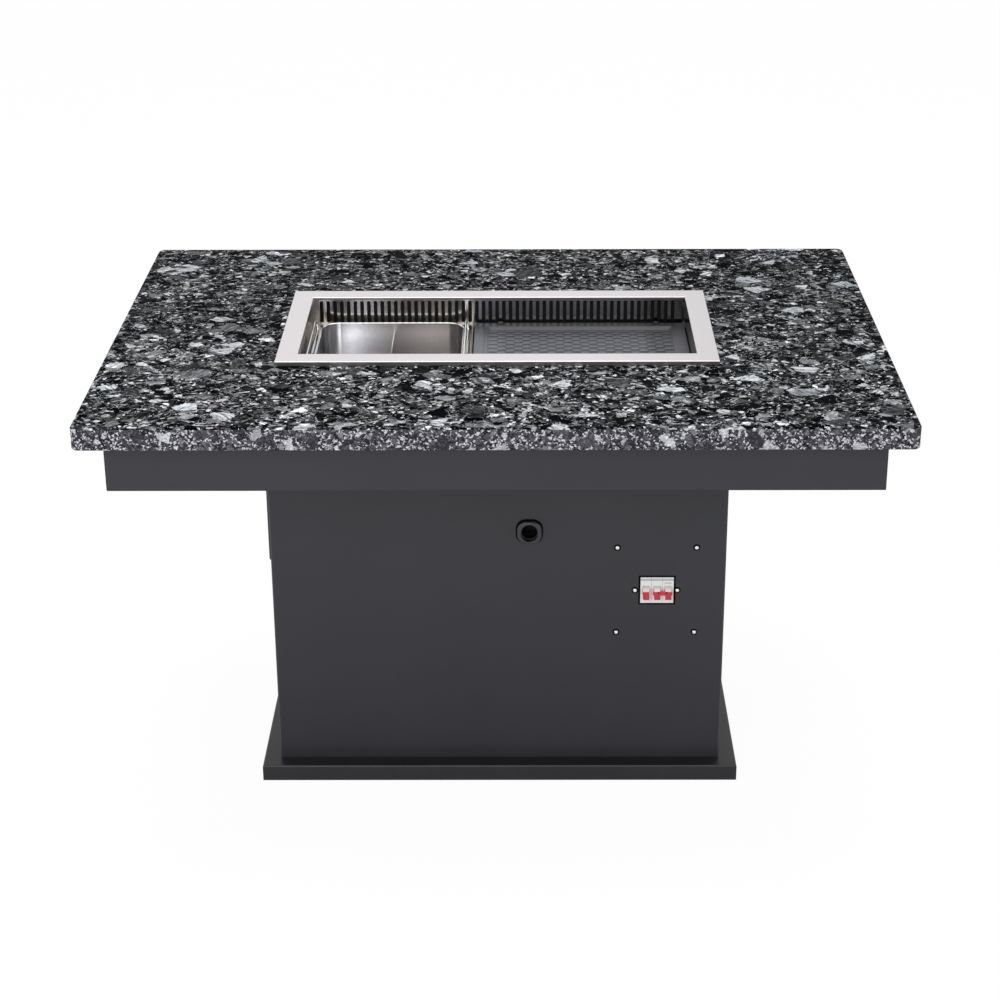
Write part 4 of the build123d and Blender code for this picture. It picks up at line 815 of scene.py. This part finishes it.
# %% [markdown]
# The next ones pick the elements that pass a test on their place, and round the
# edges among them. Which edge is meant is said by where it lies, or by the axis
# that it runs along.

# %% Picking faces and edges
def pick(piece, kind, test):
    """Enters edit mode with just the elements selected that pass a test."""
    bpy.context.view_layer.objects.active = piece
    bpy.ops.object.mode_set(mode="EDIT")
    bpy.ops.mesh.select_mode(type=kind)
    bpy.ops.mesh.select_all(action="DESELECT")
    shape = bmesh.from_edit_mesh(piece.data)
    elements = {"VERT": shape.verts, "EDGE": shape.edges, "FACE": shape.faces}[kind]
    for element in elements:
        if test(element):
            element.select_set(True)
    shape.select_flush_mode()
    bmesh.update_edit_mesh(piece.data)


def leave():
    bpy.ops.object.mode_set(mode="OBJECT")


def round_edges(piece, test, width, segments):
    """Bevels the edges that pass a test."""
    pick(piece, "EDGE", test)
    bpy.ops.mesh.bevel(offset=width, segments=segments)
    leave()


def near(value, target, within=0.00005):
    return abs(value - target) < within


def lies_at(edge, axis, place):
    """Whether both ends of an edge are at a place on x, y or z (0, 1 or 2)."""
    return all(near(vertex.co[axis], place) for vertex in edge.verts)


def runs_along(edge, axis):
    """Whether an edge is parallel to x, y or z (0, 1 or 2)."""
    first, second = (vertex.co for vertex in edge.verts)
    return all(near(first[i], second[i]) for i in range(3) if i != axis)


# %% [markdown]
# The last ones apply a modifier, copy a piece to many places, and finish a
# piece: it is shaded, named and dressed, and rides on the body that carries it.

# %% Modifiers, copies and the last touch
def modify(piece, kind, **settings):
    """Adds a modifier, sets it and applies it."""
    bpy.context.view_layer.objects.active = piece
    modifier = piece.modifiers.new(kind.lower(), kind)
    for key, setting in settings.items():
        setattr(modifier, key, setting)
    bpy.ops.object.modifier_apply(modifier=modifier.name)


def cut(piece, cutter):
    """Takes the cutter's shape out of the piece."""
    modify(piece, "BOOLEAN", operation="DIFFERENCE", solver="EXACT", object=cutter)
    bpy.data.objects.remove(cutter, do_unlink=True)


def join(parts):
    select(*parts)
    bpy.ops.object.join()
    return bpy.context.object


def copies(piece, places):
    """Copies a piece, each with its own mesh, and joins them in one object."""
    made = []
    for place in places:
        select(piece)
        bpy.ops.object.duplicate()
        twin = bpy.context.object
        twin.location = place
        made.append(settle(twin))
    bpy.data.objects.remove(piece, do_unlink=True)
    return join(made)


def finish(piece, name, material, body, stands_for=(), smooth=35):
    """Shades, names and dresses a piece, and lets it ride on its body."""
    select(piece)
    bpy.ops.object.shade_smooth_by_angle(angle=math.radians(smooth))
    piece.name = name
    piece.data.name = name
    piece.data.materials.clear()
    piece.data.materials.append(material)
    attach(piece, body)
    if stands_for:
        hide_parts(*stands_for)
    print(name, len(piece.data.polygons), "faces")


# %% [markdown]
# ## Screws
#
# Pan-head machine screws hold the switch panel and the back panel. Their places
# are measured on the plain screws of the frame: a vertex that lies near the first
# one of a group belongs to the same screw.

# %% Where the screws are
def solid_centres(name, reach=0.012):
    """The middle, in x and z, of each separate solid of a node of small solids."""
    groups = []
    for vertex in nodes[name].data.vertices:
        x, _, z = vertex.co
        for group in groups:
            if math.hypot(x - group[0][0], z - group[0][1]) < reach:
                group.append((x, z))
                break
        else:
            groups.append([(x, z)])
    middles = []
    for group in groups:
        xs, zs = [p[0] for p in group], [p[1] for p in group]
        middles.append(((min(xs) + max(xs)) / 2, (min(zs) + max(zs)) / 2))
    return middles


panel_screw_places = solid_centres("panel_screws")
print("front screws", [(round(x, 3), round(z, 3)) for x, z in panel_screw_places])

# %% [markdown]
# The head is a short cylinder whose outer edge is bevelled into a dome, with a
# cross cut into it, and the shank is extruded from the back face. One screw is
# modelled and copied to each place.

# %% Screws
head_radius, head_height, dome = 0.0033, 0.0022, 0.62
shank_radius, shank_length = 0.0019, 0.006
cross_length, cross_width, cross_depth = 0.0034, 0.0008, 0.0012
upright = (math.pi / 2, 0, 0)  # turns a cylinder's axis from z to y


def make_screw():
    screw = start(
        "cylinder", vertices=20, radius=head_radius, depth=head_height,
        location=(0, -head_height / 2, 0), rotation=upright,
    )
    round_edges(screw, lambda edge: lies_at(edge, 1, -head_height), head_height * dome, 4)
    pick(screw, "FACE", lambda face: face.normal.y > 0.9)
    bpy.ops.mesh.inset(thickness=head_radius - shank_radius)
    outwards = {"value": (0, shank_length, 0)}
    bpy.ops.mesh.extrude_region_move(TRANSFORM_OT_translate=outwards)
    leave()
    half = (cross_length / 2, cross_width / 2)
    for across, up in (half, half[::-1]):
        cut(screw, block((-across, -head_height - 0.001, -up),
                         (across, -head_height + cross_depth, up)))
    return screw


for node, facing in (("panel_screws", 0), ("back_screws", math.pi)):
    low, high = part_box(node)
    screw = make_screw()
    screw.rotation_euler = (0, 0, facing)
    settle(screw)
    face_y = high[1] - head_height if facing else low[1] + head_height
    places = [(x, face_y, z) for x, z in solid_centres(node)]
    finish(copies(screw, places), f"{node}_crossed", screw_steel, "table",
           (node,))

# %% [markdown]
# ## Cable bushing
#
# A moulded snap bushing lines the cable hole. Its flange is a rounded square
# whose front edge is well rounded, so it catches two soft highlights, and a
# raised lip runs round the hole. Flange, lip and neck are made separately,
# because each is simple alone, and then joined. The hole and its lip are a
# little taller than they are wide.

# %% Bushing
bushing_x, _, bushing_z = middle_of(bushing_low, bushing_high)
flange_front, flange_back = bushing_low[1] + 0.0007, bushing_low[1] + 0.008
flange_corner, flange_round = 0.0145, 0.0036
bore, neck, mouth = 0.0122, 0.0145, 0.0134
lip_wall, lip_depth, lip_round = 0.0018, 0.002, 0.0006
taller = (1, 1, 1.10)


def make_tube(middle, outer, wall, low_y, high_y, round_off):
    """An open ring along y, with a wall and rounded rims."""
    ring = start(
        "cylinder", vertices=48, radius=outer, depth=high_y - low_y,
        end_fill_type="NOTHING", rotation=upright,
        location=(middle[0], (low_y + high_y) / 2, middle[1]),
    )
    modify(ring, "SOLIDIFY", thickness=wall, offset=-1.0)
    modify(ring, "BEVEL", width=round_off, segments=3, limit_method="ANGLE",
           angle_limit=math.radians(60))
    return ring


def make_flange():
    flange = block((bushing_low[0], flange_front, bushing_low[2]),
                   (bushing_high[0], flange_back, bushing_high[2]))
    round_edges(flange, lambda edge: runs_along(edge, 1), flange_corner, 8)
    round_edges(flange, lambda edge: lies_at(edge, 1, flange_front), flange_round, 5)
    drill = start("cylinder", vertices=48, radius=mouth, depth=0.06, rotation=upright)
    drill.scale, drill.location = taller, (bushing_x, bushing_low[1], bushing_z)
    cut(flange, settle(drill))
    return flange


def make_bushing():
    lip = make_tube((0, 0), mouth + lip_wall, lip_wall, bushing_low[1],
                    bushing_low[1] + lip_depth, lip_round)
    lip.scale, lip.location = taller, (bushing_x, 0, bushing_z)
    sleeve = make_tube((bushing_x, bushing_z), neck, neck - bore, flange_back - 0.001,
                       bushing_high[1], 0.0005)
    return join([make_flange(), settle(lip), sleeve])


finish(make_bushing(), "bushing_moulding", bushing_plastic, "table",
       ("cable_bushing",))

# %% [markdown]
# Thin near-black sheets sit between the painted panel and what is fixed to it,
# as painted shade: a ring under each screw head, a frame round the breaker window
# and a plate behind the bushing. They are matt, so each reads as a dark line in the
# paint.

# %% Painted shade round the screws, the window and the bushing
seat_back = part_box("pedestal_front")[0][1]
seat_front = seat_back - 0.0004
ring_radius, ring_wall, ring_round = 0.0054, 0.0021, 0.0001
window_half, window_border, window_corner = (0.02695, 0.0232), 0.0022, 0.001
bushing_shade_half, bushing_shade_opening, bushing_shade_corner = (0.0213,) * 2, (0.0150,) * 2, 0.016


def make_shade_black():
    # Near-black and matt, as painted shade.
    shade_black = Finish("seat_painted_shade")
    grain = shade_black.noise(900, 2)
    return shade_black.surface(
        Base_Color=shade_black.blend(grain, screen(6, 6, 7), screen(18, 18, 19)),
        Roughness=0.7 + grain * 0.1, IOR=1.05,
    )


def make_seat(middle, half, opening, corner):
    """A flat plate with rounded corners and a rectangular opening."""
    x, z = middle
    plate = block((x - half[0], seat_front, z - half[1]),
                  (x + half[0], seat_back, z + half[1]))
    round_edges(plate, lambda edge: runs_along(edge, 1), corner, 6)
    cut(plate, block((x - opening[0], seat_front - 0.01, z - opening[1]),
                     (x + opening[0], seat_back + 0.01, z + opening[1])))
    return plate


def make_seats():
    seats = [make_tube(middle, ring_radius, ring_wall, seat_front, seat_back, ring_round)
             for middle in panel_screw_places]
    window_x = (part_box("breaker_single")[0][0] + window_high[0]) / 2
    outside = [half + window_border for half in window_half]
    seats.append(make_seat((window_x, middle_z), outside, window_half, window_corner))
    seats.append(make_seat((bushing_x, bushing_z), bushing_shade_half, bushing_shade_opening,
                           bushing_shade_corner))
    return join(seats)


# Painted shade round the screws, the window and the bushing.
finish(make_seats(), "painted_shade_seats", make_shade_black(), "table")

# %% [markdown]
# ## Pot handles and rolled rim
#
# The pot's handles are bent from round wire, and its rim is rolled over. Both are
# a line with a round section: a flat loop is shaped from a plane by moving its
# edge and bevelling its corners, its face is deleted, and the line that is left
# becomes a curve with a bevel, which turns it into wire.

# %% Bails
wire_radius = 0.002
bail_low_half, bail_high_half, bail_rise = 0.084, 0.092, 0.014
bail_corner, bail_foot = 0.0084, 0.0029


def make_wire(piece, radius):
    """Turns the outline of a flat face into wire."""
    pick(piece, "FACE", lambda face: True)
    bpy.ops.mesh.delete(type="ONLY_FACE")
    leave()
    bpy.ops.object.convert(target="CURVE")
    wire = bpy.context.object
    wire.data.bevel_depth = radius
    wire.data.bevel_resolution = 4
    bpy.ops.object.convert(target="MESH")
    return bpy.context.object


def make_bail():
    bail = start("plane", size=2)
    pick(bail, "VERT", lambda v: True)
    bpy.ops.transform.resize(value=(bail_low_half, bail_rise / 2, 1))
    bpy.ops.transform.translate(value=(0, bail_rise / 2, 0))
    pick(bail, "VERT", lambda v: v.co.y > bail_rise / 2)
    bpy.ops.transform.resize(
        value=(bail_high_half / bail_low_half, 1, 1), center_override=(0, 0, 0)
    )
    bpy.ops.mesh.bevel(offset=bail_corner, segments=8, affect="VERTICES")
    pick(bail, "VERT", lambda v: near(v.co.y, 0))
    bpy.ops.mesh.bevel(offset=bail_foot, segments=4, affect="VERTICES")
    leave()
    return make_wire(bail, wire_radius)


for side, lean in (("left", -16.0), ("right", -14.0)):
    low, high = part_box(f"pot_handle_{side}")
    bail = make_bail()
    bail.matrix_world = (
        Matrix.Translation((high[0] - wire_radius, 0, low[2] + wire_radius))
        @ Matrix.Rotation(math.radians(lean), 4, "Y")
        @ Matrix.Rotation(math.radians(90), 4, "Z")
        @ Matrix.Rotation(math.radians(90), 4, "X")
    )
    finish(settle(bail), f"{side}_bail_wire", wire_steel, f"{side}_bail",
           (f"pot_handle_{side}",))

# %% [markdown]
# The rim's bead follows the pot's rounded outline, a little inside the edge of
# the flange, so the flange seems to roll over into it.

# %% Rolled rim of the pot
pot_low, pot_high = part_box("hotpot_body")
bead_radius, bead_inset, bead_drop, rim_corner = 0.0016, 0.0012, 0.0010, 0.0307


def make_rim():
    rim = start("plane", size=1)
    x, y, _ = middle_of(pot_low, pot_high)
    long, wide = [pot_high[i] - pot_low[i] - 2 * bead_inset for i in range(2)]
    pick(rim, "VERT", lambda v: True)
    bpy.ops.transform.resize(value=(long, wide, 1))
    bpy.ops.transform.translate(value=(x, y, pot_high[2] - bead_drop))
    bpy.ops.mesh.bevel(offset=rim_corner - bead_inset, segments=12, affect="VERTICES")
    leave()
    return make_wire(rim, bead_radius)


finish(make_rim(), "pot_rim_bead", wire_steel, "pot")

# %% [markdown]
# ## Grill plate
#
# The plate is cast, so no edge on it is sharp: the well's edges are rounded and
# each short rib is a small rounded bar. The pan is shaped from one block by two
# insets on each side, and a slot for the grease is cut near its front.

# %% Pan of the plate
plate_low, plate_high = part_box("grill_plate")
rim_width, well_slope, well_sink, wall = 0.015, 0.008, 0.0045, 0.003
rim_thickness, lug_rise = 0.004, 0.003
well_corner, cast_round = 0.007, 0.0014
plate_top = plate_high[2] - lug_rise
plate_rim_low = plate_top - rim_thickness
plate_x = (plate_low[0] + plate_high[0]) / 2
column_pitch, row_pitch, columns, rows = 0.0133, 0.0174, 11, 11
slot_length, slot_width = 0.034, 0.008
slot_x, slot_y = plate_x + column_pitch / 2, -(rows - 1) * row_pitch / 2


def is_corner(edge):
    """The upright edges of the block, and the slanting ones of both wells."""
    first, second = (vertex.co for vertex in edge.verts)
    slanting = not near(first.x, second.x) and not near(first.z, second.z)
    return slanting or runs_along(edge, 2)


def make_pan():
    pan = block((plate_low[0], plate_low[1], plate_rim_low),
                (plate_high[0], plate_high[1], plate_top))
    pick(pan, "FACE", lambda face: face.normal.z > 0.9)
    bpy.ops.mesh.inset(thickness=rim_width)
    bpy.ops.mesh.inset(thickness=well_slope, depth=-well_sink)
    pick(pan, "FACE", lambda face: face.normal.z < -0.9)
    bpy.ops.mesh.inset(thickness=rim_width - wall)
    bpy.ops.mesh.inset(thickness=well_slope, depth=plate_rim_low - plate_low[2])
    round_edges(pan, is_corner, well_corner, 5)
    modify(pan, "BEVEL", width=cast_round, segments=3, limit_method="ANGLE",
           angle_limit=math.radians(24))
    slot = block((slot_x - slot_length / 2, slot_y - slot_width / 2, plate_low[2] - 0.01),
                 (slot_x + slot_length / 2, slot_y + slot_width / 2, plate_top))
    round_edges(slot, lambda edge: runs_along(edge, 2), slot_width / 2 - 0.0001, 6)
    cut(pan, slot)
    return pan


# %% [markdown]
# One rib is bevelled and copied along the staggered rows, leaving room for the
# grease slot. Four small lugs stand on the rim, where a lifting tool grips.

# %% Ribs and lugs
rib_length, rib_width, rib_height, rib_round = 0.015, 0.0045, 0.0018, 0.0013
rib_sink = 0.0002  # metres that a rib reaches into the floor
lug_half_length, lug_half_width, lug_round = 0.00375, 0.003, 0.001
lug_x, lug_shift = 0.1273, -0.002


def make_ribs():
    rib = block((-rib_length / 2, -rib_width / 2, -rib_sink),
                (rib_length / 2, rib_width / 2, rib_height))
    round_edges(rib, lambda edge: lies_at(edge, 2, rib_height), rib_round, 3)
    places = []
    for shift, row_count in ((-0.5, rows), (0.5, rows - 1)):
        for column in range(columns):
            for row in range(row_count):
                x = plate_x + (shift + 2 * column - (columns - 1)) * column_pitch
                y = (row - (row_count - 1) / 2) * row_pitch
                if abs(y - slot_y) >= slot_width or abs(x - slot_x) >= 2 * column_pitch:
                    places.append((x, y, plate_top - well_sink))
    print(len(places), "ribs")
    return copies(rib, places)


def make_lugs():
    lug = block((-lug_half_length, -lug_half_width, plate_rim_low),
                (lug_half_length, lug_half_width, plate_top + lug_rise))
    round_edges(lug, lambda edge: lies_at(edge, 2, plate_high[2]), lug_round, 3)
    lug_y = plate_high[1] - lug_half_width
    return copies(lug, [
        (plate_x + lug_shift + side * lug_x, end * lug_y, 0)
        for side in (-1, 1) for end in (-1, 1)
    ])


finish(join([make_pan(), make_ribs(), make_lugs()]), "grill_plate_cast", black_cast,
       "plate", ("grill_plate",), smooth=40)

# %% [markdown]
# ## Floor, light and camera
#
# A catalogue picture stands on paper that is lit until it is white. The floor
# is pale paper that the camera sees mostly as plain white, so that only the
# shadow is left of it.

# %% Floor
def add_floor():
    bpy.ops.object.select_all(action="DESELECT")
    bpy.ops.mesh.primitive_plane_add(size=40, location=(0, 0, -0.0005))
    floor = bpy.context.object
    floor.name = "studio_floor"
    paper = Finish("floor_paper")
    grain = paper.noise(3, 2)
    paper.surface(
        Base_Color=paper.blend(grain * 0.1, screen(236, 236, 236), screen(230, 230, 230)),
        Roughness=0.9,
    )
    white = paper.node("ShaderNodeEmission", None, Color=(1, 1, 1), Strength=1.05)
    seen = paper.node("ShaderNodeLightPath", output="Is Camera Ray")
    shaded = Value(paper, paper.shader.outputs[0])
    mixed = paper.node("ShaderNodeMixShader", None, seen * 0.9, shaded, white)
    paper.plug(paper.tree.nodes["Material Output"].inputs["Surface"], mixed)
    floor.data.materials.append(paper.material)
    print(floor.name, "is", floor.dimensions.x, "m wide")


add_floor()

# %% [markdown]
# The world is a plain pale dome that the camera, and anything seen in metal or
# glass, gets as white. One wide panel in front and one above give the metal
# broad reflections, and two small lamps at the sides put a spark on wire, screw
# heads and bevels.

# %% World and lamps
def add_world():
    world = bpy.data.worlds.new("studio")
    bpy.context.scene.world = world
    world.use_nodes = True
    sky = Network(world.node_tree)
    dome = sky.node("ShaderNodeBackground", None, Color=(0.95, 0.97, 1.0), Strength=0.5)
    white = sky.node("ShaderNodeBackground", None, Color=(1, 1, 1))
    path = sky.node("ShaderNodeLightPath", output="Is Camera Ray")
    seen = path
    for other in ("Is Glossy Ray", "Is Transmission Ray"):
        seen = seen.maths("MAXIMUM", seen, path.beside(other))
    mixed = sky.node("ShaderNodeMixShader", None, seen, dome, white)
    sky.plug(sky.tree.nodes["World Output"].inputs["Surface"], mixed)


def add_lamp(name, place, target, size, power):
    lamp = bpy.data.lights.new(name, "AREA")
    lamp.shape = "RECTANGLE"
    lamp.size, lamp.size_y = size
    lamp.energy = power
    holder = bpy.data.objects.new(name, lamp)
    bpy.context.collection.objects.link(holder)
    holder.location = place
    aim = Vector(target) - Vector(place)
    holder.rotation_euler = aim.to_track_quat("-Z", "Y").to_euler()
    print(name, power, "W")


add_world()
add_lamp("front_panel", (-1.2, -4.0, 2.6), (0, 0, 0.6), (3.0, 2.0), 54)
add_lamp("top_panel", (0.0, 0.4, 3.4), (0, 0, 0.7), (2.4, 2.0), 42)
for side in (-1, 1):
    add_lamp(f"sparkle_{side + 1}", (side * 2.6, -3.2, 1.35), (0, 0, 0.5), (0.3, 0.3), 5)

# %% [markdown]
# The camera is a long lens a few steps in front of the table and above it. It is
# tilted down, turned a hair to the side, and shifted so that the table fills the
# frame. The view transform is Standard, which shows a colour as it was picked.

# %% Camera
frame_pixels, sensor_width = 1000, 36
focal_pixels = 2081.21  # the lens's focal length, in pixels of that frame
camera_place = (0.03869, -3.0831, 1.87284)
turned, tilted_down, rolled = 0.225, 21.936, -0.174  # degrees

camera_data = bpy.data.cameras.new("camera")
camera = bpy.data.objects.new("camera", camera_data)
bpy.context.collection.objects.link(camera)
camera_data.sensor_width = sensor_width
camera_data.lens = focal_pixels / frame_pixels * sensor_width
camera_data.shift_x, camera_data.shift_y = -0.01518, -0.11946
camera.matrix_world = (
    Matrix.Translation(camera_place)
    @ Matrix.Rotation(math.radians(turned), 4, "Z")
    @ Matrix.Rotation(math.radians(90 - tilted_down), 4, "X")
    @ Matrix.Rotation(math.radians(rolled), 4, "Z")
)
bpy.context.scene.camera = camera
bpy.context.scene.view_settings.view_transform = "Standard"
print("lens", round(camera_data.lens, 1), "mm")

# %% [markdown]
# ## Last update
#
# At the end the view layer is brought up to date. Everything that was added
# has to stay inside the table's own box.

# %% Update the view layer
bpy.context.view_layer.update()
